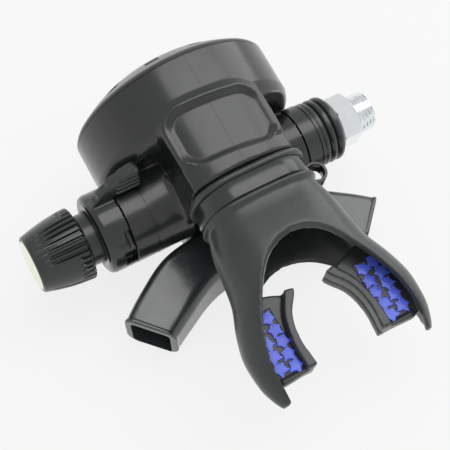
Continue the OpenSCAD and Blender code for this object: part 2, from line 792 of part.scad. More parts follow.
// Cross-sections of the right horn: rear top corner, front top corner, level of the
// top, height, how far the lower edge stands out, and how much the rim is thickened.
bend = horn_reach / 50.8;
duct = [
    [[-2, -12.5], [-2, -29.6], -4.6, 17, [0, -4.2], 0],
    [[14 * bend, -12.7], [10 * bend, -29.6], -4.2, 17, [0, -4.6], 0],
    [[28.5 * bend, -16.3], [19.6 * bend, -32.3], -horn_top - 0.1, 16.2, [0, -4.6], 0],
    [[41.5 * bend, -24], [31.2 * bend, -38.6], -horn_top, 15.8, [-0.3, -3.8], 0],
    [[horn_reach - 1.7, -29.4], [37.3 * bend, -42], -horn_top, 15.5, [-0.8, -3.3], 0],
    [[horn_reach - 1.5, -29.6], [37.5 * bend, -42.1], -horn_top, 15.5, [-0.8, -3.3], 0.5],
    [[horn_reach, -30.6], [38.9 * bend, -42.9], -horn_top, horn_low - horn_top,
     [-1, -3.2], 0.5]
];

// Outline of a duct with bevelled edges, t inside its wall.
function duct_ring(c, t, out = 0) =
    let (a = c[0], d = c[1] - c[0], w = norm(d), h = c[3], q = t - c[5], e = 3 - 0.4 * q)
    [for (p = [[q + e, q], [q + 1, q + 0.9], [q, q + e], [q, h - q - e], [q + 1, h - q - 0.9],
               [q + e, h - q], [w - q - e, h - q], [w - q - 1, h - q - 0.9],
               [w - q, h - q - e], [w - q, q + e], [w - q - 1, q + 0.9], [w - q - e, q]])
        [a[0] + d[0] * p[0] / w + (c[4][0] * p[1] / h) + out * 0.8,
         a[1] + d[1] * p[0] / w + (c[4][1] * p[1] / h) - out * 0.6,
         c[2] - p[1]]];

module horn(t) {
    last = len(duct) - 1;
    loft([for (i = [0:last]) duct_ring(duct[i], t + (t > 0 ? duct[i][5] : 0),
                                       t > 0 && i == last ? 2 : 0)]);
}

mouth_w = 27;
mouth_top = block_bottom + 0.4;
mouth_low = 35;

// Trunk from the exhaust port under the block to where the two horns part.
module trunk(t) {
    hull() {
        slab_y(drum_back - 1.6, drum_back - (t > 0 ? -1 : 0.12))
            round_rect([-mouth_w / 2 + t, -mouth_low + t],
                       [mouth_w / 2 - t, -mouth_top - t], 4 - t, $fn = 32);
        slab_y(-12.5, -10.5) round_rect([-mouth_w / 2 - 2 + t, -28.3 + t],
            [mouth_w / 2 + 2 - t, -mouth_top - t], 4 - t, $fn = 32);
    }
    hull() {
        slab_y(-12.5, -10.5) round_rect([-mouth_w / 2 - 2 + t, -28.3 + t],
            [mouth_w / 2 + 2 - t, -mouth_top - t], 4 - t, $fn = 32);
        slab_y(-28 + t, -14 - t) round_rect([-11.5 + t, -22 + t], [11.5 - t, -6.2 - t],
            4 - t, $fn = 32);
    }
}

module exhaust_tee() {
    color("#1f2122") difference() {
        union() {
            trunk(0);
            horn(0);
            mirror([1, 0, 0]) horn(0);
        }
        trunk(tee_wall);
        horn(tee_wall);
        mirror([1, 0, 0]) horn(tee_wall);
    }
}

// ---- mouthpiece -------------------------------------------------------------

// Frame of the mouthpiece: its Y runs out of the block, tilted upwards.
module at_tube() {
    translate([tube_shift, -block_back - 0.15, tube_z]) rotate([-tube_tilt, 0, 0]) children();
}

// The mouthpiece's skin: distance from the block, half width, half height, squareness.
side = wing_half - tube_w / 2;
clamp_d = 2.5;                 // the clamp's nearer edge, from the block
ridge_d = clamp_d + clamp_w + 0.3;
skin = [
    [0, tube_w / 2, tube_h / 2, 2.9],
    [ridge_d + 1.6, tube_w / 2, tube_h / 2, 2.9],
    [ridge_d + 2.2, tube_w / 2 - 0.6, tube_h / 2 - 0.7, 2.8],
    [15.4, tube_w / 2 + 0.1 * side, tube_h / 2 - 0.5, 2.6],
    [20, tube_w / 2 + 0.22 * side, tube_h / 2 + 0.2, 2.4],
    [27, tube_w / 2 + 0.36 * side, tube_h / 2 + 1.1, 2.2],
    [36, tube_w / 2 + 0.5 * side, flange_h / 2, 2.1],
    [44, tube_w / 2 + 0.72 * side, flange_h / 2, 2.1],
    [52, tube_w / 2 + 0.93 * side, flange_h / 2 - 0.6, 2.1],
    [58, wing_half, flange_h / 2 - 1.6, 2.1], [64, wing_half, flange_h / 2 - 3, 2.1],
    [wing_reach - 2.4, wing_half - 1.6, flange_h / 2 - 4.8, 2.1],
    [wing_reach, wing_half - 4.2, flange_h / 2 - 6.6, 2.1]
];

// Superellipse at one station, shrunk by t.
function skin_ring(c, t, d, n = 48) =
    [for (k = [0:n - 1]) let (a = 360 * k / n, e = 2 / c[3])
        [(c[1] - t) * sign(sin(a)) * pow(abs(sin(a)), e), -d,
         (c[2] - t) * sign(cos(a)) * pow(abs(cos(a)), e)]];

module trumpet(t) {
    last = len(skin) - 1;
    loft([for (i = [0:last]) skin_ring(skin[i], t * (i < last ? 1 : 1.15),
          skin[i][0] + (t == 0 ? 0 : i == 0 ? -1 : i == last ? 1 : 0))]);
}

// Arch that parts the two wings, as half widths at distances from the block.
arch = [[0, 24.8], [5, 26], [9, 28.6], [12.3, 32.2], [15.3, 36.8], [18.7, 44.2],
        [21.4, 54.4], [23.3, 65.9], [24.6, 80]];

module arch_space() {
    linear_extrude(60, center = true) polygon(concat(
        [for (p = arch) [p[0], -p[1]]],
        [for (i = [len(arch) - 1:-1:1]) [-arch[i][0], -arch[i][1]]]));
}

tab_in = 10.6;                 // inner edge of a bite tab
tab_d0 = 39;                   // its corner near the tube
tab_d1 = 65.6;                 // its free end

// Distance from the block at a share of the tab's length.
function tab_at(share) = tab_d0 + share * (tab_d1 - tab_d0);

// Outer edge of a tab runs into the wing's skin at distance d.
function wing_at(d) = lookup(d, [for (c = skin) [c[0], c[1]]]) - flange_t * 0.6;

module bite_tab() {
    translate([0, 0, -tab_t / 2]) linear_extrude(tab_t) polygon([
        [tab_in - 4.4, -tab_d0 - 3], [tab_in + 1.5, -tab_d0 + 0.6],
        [wing_at(tab_d0 - 3), -tab_d0 + 3], for (share = [0.41, 0.64, 0.83])
            [wing_at(tab_at(share)), -tab_at(share)],
        [tab_in + 11, -tab_d1], [tab_in + 1, -tab_d1],
        [tab_in, -tab_d1 + 1.5], [tab_in, -tab_d0 - 12], [tab_in - 1.2, -tab_d0 - 7]]);
    // raised rail that the teeth sit behind
    rail = [[tab_in - 4, tab_at(0.05)], [tab_in - 2.2, tab_at(0.2)],
            [tab_in - 0.6, tab_at(0.38)], [tab_in, tab_at(0.56)], [tab_in, tab_at(0.75)],
            [tab_in, tab_d1 - 0.9], [tab_in + 0.6, tab_d1]];
    translate([0, 0, -4.4]) linear_extrude(8.8) polygon(concat(
        [for (p = rail) [p[0], -p[1]]],
        [for (i = [len(rail) - 1:-1:0]) [rail[i][0] + 2.5, -rail[i][1] + (i < 3 ? 0.8 : 0)]]));
}

pad_w = 9.4;
pad_l = 0.79 * (tab_d1 - tab_d0);

module pad_shape(grow, h) {
    translate([tab_in + 3 - grow, -tab_d1 + 1.8 - grow, -h / 2]) linear_extrude(h)
        square([pad_w + 2 * grow, pad_l + 2 * grow]);
}

module mouthpiece() {
    color("#2d3032") at_tube() difference() {
        union() {
            difference() {
                trumpet(0);
                trumpet(tube_wall);
                arch_space();
                // recess that the clamp sits in
                difference() {
                    slab_y(-ridge_d, -clamp_d) square([tube_w + 6, tube_h + 6], center = true);
                    slab_y(-ridge_d - 1, -clamp_d + 1) clamp_oval(0);
                }
            }
            bite_tab();
            mirror([1, 0, 0]) bite_tab();
        }
        for (m = [0, 1]) mirror([m, 0, 0]) pad_shape(0.1, 7);
    }
}

module bite_pad(m) {
    color("#3d4cae") at_tube() mirror([m, 0, 0]) pad_shape(0, tab_t + 1.4);
}

module bite_pad_left() { bite_pad(1); }

module bite_pad_right() { bite_pad(0); }

// Outline of the recess that the clamp lies in, grown by g.
module clamp_oval(g) {
    oval(tube_w - 1.8 + 2 * g, tube_h - 1.8 + 2 * g);
}

band_t = 1.3;
loop_r = 4;                    // outside radius of the clamp's loop
loop_x = tube_w / 2 + 4.5;     // its middle, on the hose side
loop_d = clamp_d + clamp_w / 2 + 0.7;
loop_z = -3;                   // its upper edge
loop_h = 5.5;

// Outline of the loop seen from above, t inside its wall.
module loop_shape(t) {
    hull() {
        translate([tube_w / 2 + (t > 0 ? 1.3 : 0.2), -ridge_d + 0.15 + t])
            square([1, clamp_w - 2 * t]);
        translate([loop_x, -loop_d]) circle(loop_r - t, $fn = 48);
    }
}

// Oval band with a loop on the hose side.
module mouthpiece_clamp() {
    color("#17181a") at_tube() difference() {
        union() {
            slab_y(-ridge_d + 0.15, -clamp_d - 0.15) clamp_oval(band_t);
            translate([0, 0, loop_z - loop_h]) linear_extrude(loop_h) {
                loop_shape(0);
                translate([tube_w / 2 - 3.2, -ridge_d + 0.15]) square([4.2, clamp_w]);
            }
        }
        translate([0, 0, loop_z - loop_h - 1]) linear_extrude(loop_h + 2) loop_shape(1.1);
        slab_y(-ridge_d - 2, -clamp_d + 2) clamp_oval(seat);
    }
}

// ---- the set ----------------------------------------------------------------

rest() case_body();
rest() front_cover();
rest() purge_guard();
rest() purge_button();
rest() purge_spring();
rest() diaphragm_washer();
rest() diaphragm();
rest() diaphragm_disc();
rest() valve_barrel();
rest() heat_exchanger();
rest() orifice();
rest() orifice_o_ring();
rest() poppet();
rest() poppet_seat();
rest() poppet_spring();
rest() spring_pad();
rest() demand_lever();
rest() packing_nut();
rest() adjusting_screw();
rest() screw_o_ring();
rest() knob();
rest() knob_insert();
rest() knob_screw();
rest() venturi_lever();
rest() venturi_vane();
rest() vane_o_ring();
rest() exhaust_valve();
rest() exhaust_tee();
rest() mouthpiece();
rest() bite_pad_left();
rest() bite_pad_right();
rest() mouthpiece_clamp();
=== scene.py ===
"""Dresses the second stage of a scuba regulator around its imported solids.

Shapes are drawn in the case's own frame, in millimetres: X runs along the valve
tube to the hose, Y to the purge cover and Z up through the mouthpiece block. The
last step of every piece lays it in the row frame, in metres. A tool runs a little
past what it cuts, and shapes that are fused overlap by a millimetre or two.
"""

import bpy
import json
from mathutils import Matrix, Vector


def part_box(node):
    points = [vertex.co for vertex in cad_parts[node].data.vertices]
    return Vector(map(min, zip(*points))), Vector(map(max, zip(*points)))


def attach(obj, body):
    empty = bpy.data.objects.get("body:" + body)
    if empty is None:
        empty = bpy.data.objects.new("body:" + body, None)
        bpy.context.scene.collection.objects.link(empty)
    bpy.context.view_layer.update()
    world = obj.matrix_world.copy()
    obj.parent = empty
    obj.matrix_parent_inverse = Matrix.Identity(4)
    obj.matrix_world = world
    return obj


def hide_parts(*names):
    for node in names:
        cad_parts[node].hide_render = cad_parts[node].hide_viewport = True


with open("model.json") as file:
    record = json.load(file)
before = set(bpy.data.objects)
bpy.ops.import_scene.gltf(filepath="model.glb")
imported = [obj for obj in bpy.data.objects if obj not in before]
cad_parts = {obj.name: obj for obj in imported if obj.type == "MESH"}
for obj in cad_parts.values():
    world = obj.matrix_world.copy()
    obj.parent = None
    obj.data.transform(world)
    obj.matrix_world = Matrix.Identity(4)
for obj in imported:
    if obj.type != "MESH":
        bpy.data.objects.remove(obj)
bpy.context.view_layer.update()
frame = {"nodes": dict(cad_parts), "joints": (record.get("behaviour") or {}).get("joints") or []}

import json
import logging
import math
from collections.abc import Callable, Sequence
from dataclasses import dataclass, field
from enum import Enum
from functools import partial
from itertools import product

import bmesh
import bpy
from mathutils import Matrix, Vector

log = logging.getLogger("second_stage")

Piece = bpy.types.Object
Socket = bpy.types.NodeSocket
Point2 = tuple[float, float]
Rows = tuple[tuple[float, ...], ...]

MM = 0.001
# points nearer than this are one, in millimetres: at a loft's seam, between a
# solid's loose triangles, and on a turned or mirrored shape
SEAM, LOOSE, DOUBLE = 0.0001, 0.001, 0.002
# a noise's values lie mostly in this range
NOISE = (0.3, 0.7)


# ---- the case's frame ------------------------------------------------------


def case_matrix() -> Matrix:
    """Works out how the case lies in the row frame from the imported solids.

    Returns:
        The matrix from the case's millimetres to the row frame's metres.
    """
    press = next(j for j in frame["joints"] if j["name"] == "purge_press")
    tilt = math.atan2(-press["axis"][2], -press["axis"][1])
    sleeve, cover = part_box("heat_exchanger"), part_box("front_cover")
    origin = (sleeve[0] + sleeve[1]) / 2
    origin.x = (cover[0].x + cover[1].x) / 2
    return (Matrix.Translation(origin) @ Matrix.Rotation(tilt, 4, "X")
            @ Matrix.Scale(MM, 4))


CASE = case_matrix()


def span(node: str) -> tuple[Vector, Vector]:
    """Measures a solid in the case's frame.

    Args:
        node: Name of the CAD node.

    Returns:
        Its lowest and highest corner, in case millimetres.
    """
    to_case = CASE.inverted()
    points = [to_case @ v.co for v in frame["nodes"][node].data.vertices]
    low = Vector(min(p[i] for p in points) for i in range(3))
    high = Vector(max(p[i] for p in points) for i in range(3))
    return low, high


class Axis(Enum):
    """The case's axes, as directions."""

    X = (1.0, 0.0, 0.0)
    Y = (0.0, 1.0, 0.0)
    Z = (0.0, 0.0, 1.0)

    def place(self, outline: Point2, level: float) -> Vector:
        """Puts an outline's point at a level along the axis.

        Args:
            outline: The point's two coordinates across the axis.
            level: Its coordinate along the axis.

        Returns:
            The point in the case's frame.
        """
        across = iter(outline)
        return Vector([level if share else next(across) for share in self.value])


class Join(Enum):
    """How a tool works on a piece."""

    CUT = "DIFFERENCE"
    ADD = "UNION"
    KEEP = "INTERSECT"


class Side(Enum):
    """The two sides of the set, by the sign of the case's X."""

    RIGHT = 1
    LEFT = -1


class Lip(Enum):
    """The mouthpiece's lips: sign of Z, how much wider than the arch the opening is,
    how much the cut slants, and the height and the setback that it slants from."""

    UPPER = (1, 1.0, 0.5, 15.0, 0.0)
    LOWER = (-1, 1.07, 0.6, 10.0, 5.0)


# ---- outlines and curves ---------------------------------------------------


def clamp(share: float) -> float:
    """Returns a share held between 0 and 1."""
    return min(1.0, max(0.0, share))


def ease(share: float) -> float:
    """Returns a soft step from 0 to 1 as its argument goes from 0 to 1."""
    share = clamp(share)
    return share * share * (3 - 2 * share)


def shares(steps: int) -> list[float]:
    """Returns the shares from 0 to 1 in a number of even steps."""
    return [k / steps for k in range(steps + 1)]


def through(stations: Sequence[Sequence[float]], share: float) -> list[float]:
    """Follows a smooth curve through a list of stations.

    Args:
        stations: Rows of numbers.
        share: Place along the list, from 0 to 1.

    Returns:
        The row of numbers at that place, by a Catmull-Rom curve.
    """
    last = len(stations) - 1
    first = min(int(share * last), last - 1)
    t = share * last - first
    a, b, c, d = (stations[max(0, min(last, first + k))] for k in (-1, 0, 1, 2))
    return [0.5 * (2 * q + (r - p) * t + (2 * p - 5 * q + 4 * r - s) * t * t
                   + (3 * q - p - 3 * r + s) * t ** 3) for p, q, r, s in zip(a, b, c, d)]


def round_outline(low: Point2, high: Point2, radius: float, steps: int = 6) -> list[Point2]:
    """Draws a rectangle with round corners.

    Args:
        low: Its lowest corner.
        high: Its highest corner.
        radius: Radius of the corners.
        steps: Steps in each corner.

    Returns:
        The outline's points, counter-clockwise.
    """
    middles = [(high[0] - radius, high[1] - radius), (low[0] + radius, high[1] - radius),
               (low[0] + radius, low[1] + radius), (high[0] - radius, low[1] + radius)]
    return [(x + radius * math.cos(math.pi / 2 * (corner + t)),
             y + radius * math.sin(math.pi / 2 * (corner + t)))
            for corner, (x, y) in enumerate(middles) for t in shares(steps)]


# ---- the modelling bench ---------------------------------------------------


class Bench:
    """Small jobs that every piece is made with."""

    @staticmethod
    def clear() -> None:
        """Leaves edit mode and deselects everything."""
        if bpy.context.mode != "OBJECT":
            bpy.ops.object.mode_set(mode="OBJECT")
        bpy.ops.object.select_all(action="DESELECT")

    @staticmethod
    def take(*pieces: Piece) -> None:
        """Selects pieces alone and makes the first one active.

        Args:
            *pieces: The pieces.
        """
        Bench.clear()
        for piece in pieces:
            piece.select_set(True)
        bpy.context.view_layer.objects.active = pieces[0]

    @staticmethod
    def named(name: str) -> Piece:
        """Names the object that was just added.

        Args:
            name: Its name.

        Returns:
            The object.
        """
        piece = bpy.context.view_layer.objects.active
        piece.name = piece.data.name = name
        return piece

    @staticmethod
    def stood(name: str, data: bpy.types.ID) -> Piece:
        """Stands an object in the scene.

        Args:
            name: Its name.
            data: Its mesh, lamp or camera.

        Returns:
            The object.
        """
        piece = bpy.data.objects.new(name, data)
        bpy.context.scene.collection.objects.link(piece)
        return piece

    @staticmethod
    def settle() -> None:
        """Takes the place, turn and scale of what is selected into its mesh."""
        bpy.ops.object.transform_apply(location=True, rotation=True, scale=True)

    @staticmethod
    def move(piece: Piece, matrix: Matrix) -> Piece:
        """Moves a piece's mesh, so that its object stays at the origin.

        Args:
            piece: The piece.
            matrix: From where it is to where it goes.

        Returns:
            The piece.
        """
        Bench.take(piece)
        piece.matrix_world = matrix
        Bench.settle()
        return piece

    @staticmethod
    def select() -> None:
        """Selects all of the open piece in edit mode."""
        bpy.ops.mesh.select_all(action="SELECT")

    @staticmethod
    def edit(piece: Piece, kind: str = "VERT") -> None:
        """Opens a piece in edit mode with all of it selected.

        Args:
            piece: The piece to open.
            kind: VERT, EDGE or FACE.
        """
        Bench.take(piece)
        bpy.ops.object.mode_set(mode="EDIT")
        bpy.ops.mesh.select_mode(type=kind)
        Bench.select()

    @staticmethod
    def merge(piece: Piece, near: float) -> None:
        """Opens a piece in edit mode and merges its doubles.

        Args:
            piece: The piece, which stays open with all of it selected.
            near: Points nearer to each other than this become one.
        """
        Bench.edit(piece)
        bpy.ops.mesh.remove_doubles(threshold=near)
        Bench.select()

    @staticmethod
    def close() -> None:
        """Turns the faces of the open piece outwards and leaves edit mode."""
        bpy.ops.mesh.normals_make_consistent(inside=False)
        Bench.clear()

    @staticmethod
    def flip(piece: Piece) -> Piece:
        """Mirrors a piece to the other side of the set, faces outwards.

        Args:
            piece: The piece.

        Returns:
            The piece.
        """
        Bench.move(piece, Matrix.Scale(-1, 4, Axis.X.value))
        Bench.merge(piece, DOUBLE)
        Bench.close()
        return piece

    @staticmethod
    def mirrored(piece: Piece) -> Piece:
        """Copies a piece, with a mesh of its own, to the other side of the set.

        Args:
            piece: The right-hand piece.

        Returns:
            The left-hand copy.
        """
        Bench.take(piece)
        bpy.ops.object.duplicate(linked=False)
        return Bench.flip(Bench.named(piece.name + "_left"))

    @staticmethod
    def round_edges(piece: Piece, width: float, steps: int,
                    test: Callable[[Vector, Vector], bool]) -> None:
        """Rounds the edges that pass a test.

        Args:
            piece: The piece.
            width: How far the round reaches from the edge.
            steps: Number of steps in the round.
            test: Takes an edge's middle and its direction.
        """
        Bench.edit(piece, "EDGE")
        bpy.ops.mesh.select_all(action="DESELECT")
        shape = bmesh.from_edit_mesh(piece.data)
        for edge in shape.edges:
            start, end = (vertex.co for vertex in edge.verts)
            if test((start + end) / 2, (end - start).normalized()):
                edge.select_set(True)
        shape.select_flush_mode()
        bmesh.update_edit_mesh(piece.data)
        bpy.ops.mesh.bevel(offset=width, segments=steps, affect="EDGES")
        Bench.clear()

    @staticmethod
    def apply(piece: Piece, kind: str, **settings: object) -> None:
        """Adds a modifier with its settings and applies it.

        Args:
            piece: The piece that it works on.
            kind: Blender's name of the modifier.
            **settings: The modifier's own settings.
        """
        Bench.take(piece)
        step = piece.modifiers.new(kind.lower(), kind)
        for key, value in settings.items():
            setattr(step, key, value)
        bpy.ops.object.modifier_apply(modifier=step.name)

    @staticmethod
    def work(piece: Piece, tool: Piece, how: Join = Join.CUT) -> None:
        """Cuts, adds or keeps with a tool, which is used up.

        Args:
            piece: The piece that it works on.
            tool: A closed shape.
            how: What is done with the tool.
        """
        before = piece.data.copy()
        Bench.apply(piece, "BOOLEAN", operation=how.value, object=tool, solver="MANIFOLD")
        if not piece.data.polygons:
            piece.data = before
            Bench.apply(piece, "BOOLEAN", operation=how.value, object=tool, solver="EXACT")
        bpy.data.objects.remove(tool)

    @staticmethod
    def join(first: Piece, *others: Piece) -> Piece:
        """Joins pieces into one.

        Args:
            first: The piece that takes the others in.
            *others: The others.

        Returns:
            The first piece.
        """
        Bench.take(first, *others)
        bpy.ops.object.join()
        return first

    @staticmethod
    def fuse(piece: Piece, voxel: float, rounds: int) -> None:
        """Melts overlapping shapes into one skin with soft edges, as a mould gives.

        Args:
            piece: Closed shapes that overlap.
            voxel: Size of the cells, in millimetres.
            rounds: How often the skin is smoothed.
        """
        Bench.apply(piece, "REMESH", mode="VOXEL", voxel_size=voxel)
        Bench.apply(piece, "SMOOTH", factor=0.5, iterations=rounds)

    @staticmethod
    def smooth(piece: Piece, degrees: float) -> None:
        """Shades a piece smooth where its faces meet at less than an angle."""
        Bench.take(piece)
        bpy.ops.object.shade_smooth_by_angle(angle=math.radians(degrees))

    @staticmethod
    def block(name: str, low: Sequence[float], high: Sequence[float]) -> Piece:
        """Adds a box.

        Args:
            name: The piece's name.
            low: Its lowest corner.
            high: Its highest corner.

        Returns:
            The piece.
        """
        Bench.clear()
        size = [b - a for a, b in zip(low, high)]
        middle = [(a + b) / 2 for a, b in zip(low, high)]
        bpy.ops.mesh.primitive_cube_add(size=1, location=middle, scale=size)
        piece = Bench.named(name)
        Bench.settle()
        return piece

    @staticmethod
    def rod(name: str, radius: float, start: Sequence[float], end: Sequence[float],
            sides: int = 64, end_radius: float | None = None) -> Piece:
        """Adds a rod, or a cone where the end has a radius of its own.

        Args:
            name: The piece's name.
            radius: Its radius.
            start: Middle of its first end.
            end: Middle of its last end.
            sides: Its number of sides.
            end_radius: Radius at the last end.

        Returns:
            The piece.
        """
        Bench.clear()
        way = Vector(end) - Vector(start)
        bpy.ops.mesh.primitive_cone_add(
            vertices=sides, radius1=radius, depth=way.length,
            radius2=radius if end_radius is None else end_radius,
            location=(Vector(start) + Vector(end)) / 2,
            rotation=way.to_track_quat("Z", "Y").to_euler())
        piece = Bench.named(name)
        Bench.settle()
        return piece

    @staticmethod
    def prism(name: str, outline: Sequence[Point2], axis: Axis, low: float,
              high: float) -> Piece:
        """Draws an outline as a face and extrudes it along an axis.

        Args:
            name: The piece's name.
            outline: The outline's points across the axis.
            axis: The axis that it is extruded along.
            low: Where it starts.
            high: Where it ends.

        Returns:
            The closed piece.
        """
        Bench.clear()
        bpy.ops.mesh.primitive_circle_add(vertices=len(outline), fill_type="NGON")
        piece = Bench.named(name)
        for vertex, point in zip(piece.data.vertices, outline):
            vertex.co = axis.place(point, low)
        Bench.edit(piece, "FACE")
        bpy.ops.mesh.extrude_region_move(TRANSFORM_OT_translate={
            "value": Vector(axis.value) * (high - low)})
        Bench.select()
        Bench.close()
        return piece

    @staticmethod
    def turned(name: str, profile: Sequence[Point2], axis: Axis, steps: int = 96) -> Piece:
        """Spins a profile about one of the case's axes.

        Args:
            name: The piece's name.
            profile: Radius and place along the axis of each of its points, from the
                axis back to the axis, or as a closed loop.
            axis: The axis that it turns about.
            steps: Number of steps in the turn.

        Returns:
            The closed piece.
        """
        Bench.clear()
        bpy.ops.mesh.primitive_plane_add(size=1)
        piece = Bench.named(name)
        Bench.edit(piece)
        bpy.ops.mesh.merge(type="CENTER")
        Bench.select()
        points = [axis.place((radius, 0.0), level) for radius, level in profile]
        bpy.ops.transform.translate(value=points[0])
        for here, there in zip(points, points[1:]):
            bpy.ops.mesh.extrude_vertices_move(TRANSFORM_OT_translate={"value": there - here})
        Bench.select()
        bpy.ops.mesh.spin(steps=steps, angle=math.tau, center=(0, 0, 0), axis=axis.value)
        Bench.merge(piece, DOUBLE)
        Bench.close()
        return piece

    @staticmethod
    def lofted(name: str, rings: Sequence[Sequence[Vector]]) -> Piece:
        """Lays a grid on a row of rings, joins its seam and closes its ends.

        Args:
            name: The piece's name.
            rings: Outlines with the same count of points.

        Returns:
            The closed piece.
        """
        Bench.clear()
        bpy.ops.mesh.primitive_grid_add(x_subdivisions=len(rings[0]),
                                        y_subdivisions=len(rings) - 1)
        piece = Bench.named(name)
        # a row of the grid ends where it starts
        points = [point for ring in rings for point in (*ring, ring[0])]
        for vertex, point in zip(piece.data.vertices, points):
            vertex.co = point
        Bench.merge(piece, SEAM)
        bpy.ops.mesh.fill_holes(sides=0)
        Bench.select()
        Bench.close()
        return piece

    @staticmethod
    def from_solid(node: str, name: str) -> Piece:
        """Copies a CAD solid, merged, in the case's frame.

        Args:
            node: The CAD node.
            name: The copy's name.

        Returns:
            The copy, which rides on nothing yet.
        """
        piece = Bench.stood(name, frame["nodes"][node].data.copy())
        piece.data.materials.clear()
        Bench.move(piece, CASE.inverted())
        Bench.merge(piece, LOOSE)
        Bench.clear()
        return piece

    @staticmethod
    def lay(piece: Piece, body: str, slot: str, finish: bpy.types.Material,
            *replaced: str) -> None:
        """Lays a finished piece in the row frame and hands it over.

        Args:
            piece: The piece, in case millimetres.
            body: The body that it rides on.
            slot: The record's material slot; not used.
            finish: Its material.
            *replaced: CAD nodes that it stands for.
        """
        Bench.move(piece, CASE)
        piece.data.materials.clear()
        piece.data.materials.append(finish)
        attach(piece, body)
        if replaced:
            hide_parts(*replaced)
        log.info("%s: %d faces on %s", piece.name, len(piece.data.polygons), body)


# ---- finishes --------------------------------------------------------------


def linear(colour: str) -> tuple[float, float, float, float]:
    """Turns an sRGB hex colour into Blender's linear colour.

    Args:
        colour: The colour as #RRGGBB.

    Returns:
        Red, green, blue and alpha, linear.
    """
    parts = [int(colour[i:i + 2], 16) / 255 for i in (1, 3, 5)]
    return (*(p / 12.92 if p <= 0.04045 else ((p + 0.055) / 1.055) ** 2.4 for p in parts), 1.0)


def add_node(tree: bpy.types.NodeTree, kind: str,
             links: dict[str | int, Socket] | None = None,
             values: dict[str | int, object] | None = None,
             **settings: object) -> bpy.types.Node:
    """Adds a node with its settings, values and links.

    Args:
        tree: The material's or the world's tree.
        kind: Blender's name of the node's type.
        links: Input to the socket that feeds it.
        values: Input to its fixed value.
        **settings: The node's own settings.

    Returns:
        The node.
    """
    node = tree.nodes.new(kind)
    for key, value in settings.items():
        setattr(node, key, value)
    for key, value in (values or {}).items():
        node.inputs[key].default_value = value
    for key, socket in (links or {}).items():
        tree.links.new(socket, node.inputs[key])
    return node


class Recipe:
    """A material's node tree while it is being put together."""

    def __init__(self, name: str) -> None:
        """Starts a material with its shader and the object's coordinates.

        Args:
            name: The material's name.
        """
        self.material = bpy.data.materials.new(name)
        self.material.use_nodes = True
        tree = self.material.node_tree
        self.shader = tree.nodes["Principled BSDF"]
        self.link = tree.links.new
        self.add = partial(add_node, tree)
        self.place = self.add("ShaderNodeTexCoord").outputs["Object"]

    def noise(self, size_mm: float, detail: float, stretch: Sequence[float] = (1, 1, 1)
              ) -> Socket:
        """Adds a noise whose blobs have a real size.

        Args:
            size_mm: Size of a blob in millimetres.
            detail: Number of finer layers.
            stretch: How much the pattern is scaled along each axis.

        Returns:
            The noise's value.
        """
        mapped = self.add("ShaderNodeMapping", {"Vector": self.place}, {"Scale": stretch})
        return self.add("ShaderNodeTexNoise", {"Vector": mapped.outputs[0]},
                        {"Scale": 1 / (size_mm * MM), "Detail": detail}).outputs[0]

    def tone(self, share: Socket, low: str, high: str) -> None:
        """Gives the surface two tones that run into each other.

        Args:
            share: The noise that parts them.
            low: Colour where it is low.
            high: Colour where it is high.
        """
        ramp = self.add("ShaderNodeValToRGB", {"Fac": share})
        ends = ramp.color_ramp.elements
        ends[0].position, ends[1].position = NOISE
        ends[0].color, ends[1].color = linear(low), linear(high)
        self.link(ramp.outputs["Color"], self.shader.inputs["Base Color"])

    def gloss(self, share: Socket, smooth: float, rough: float) -> None:
        """Gives the surface an uneven gloss.

        Args:
            share: The noise that parts it.
            smooth: Roughness where it is low.
            rough: Roughness where it is high.
        """
        mapped = self.add("ShaderNodeMapRange", {"Value": share}, {
            "From Min": NOISE[0], "From Max": NOISE[1], "To Min": smooth, "To Max": rough})
        self.link(mapped.outputs[0], self.shader.inputs["Roughness"])

    def relief(self, height: Socket, depth_mm: float, strength: float = 1.0) -> None:
        """Gives the surface a relief, on top of any that it has.

        Args:
            height: Its height, from 0 to 1.
            depth_mm: How deep a height of 1 is.
            strength: Strength of the relief.
        """
        normal = self.shader.inputs["Normal"]
        under = {"Normal": link.from_socket for link in normal.links}
        bump = self.add("ShaderNodeBump", {"Height": height, **under},
                        {"Strength": strength, "Distance": depth_mm * MM})
        self.link(bump.outputs["Normal"], normal)

    def put(self, **values: object) -> None:
        """Sets the shader's own values; an underscore stands for a space."""
        for key, value in values.items():
            self.shader.inputs[key.replace("_", " ")].default_value = value


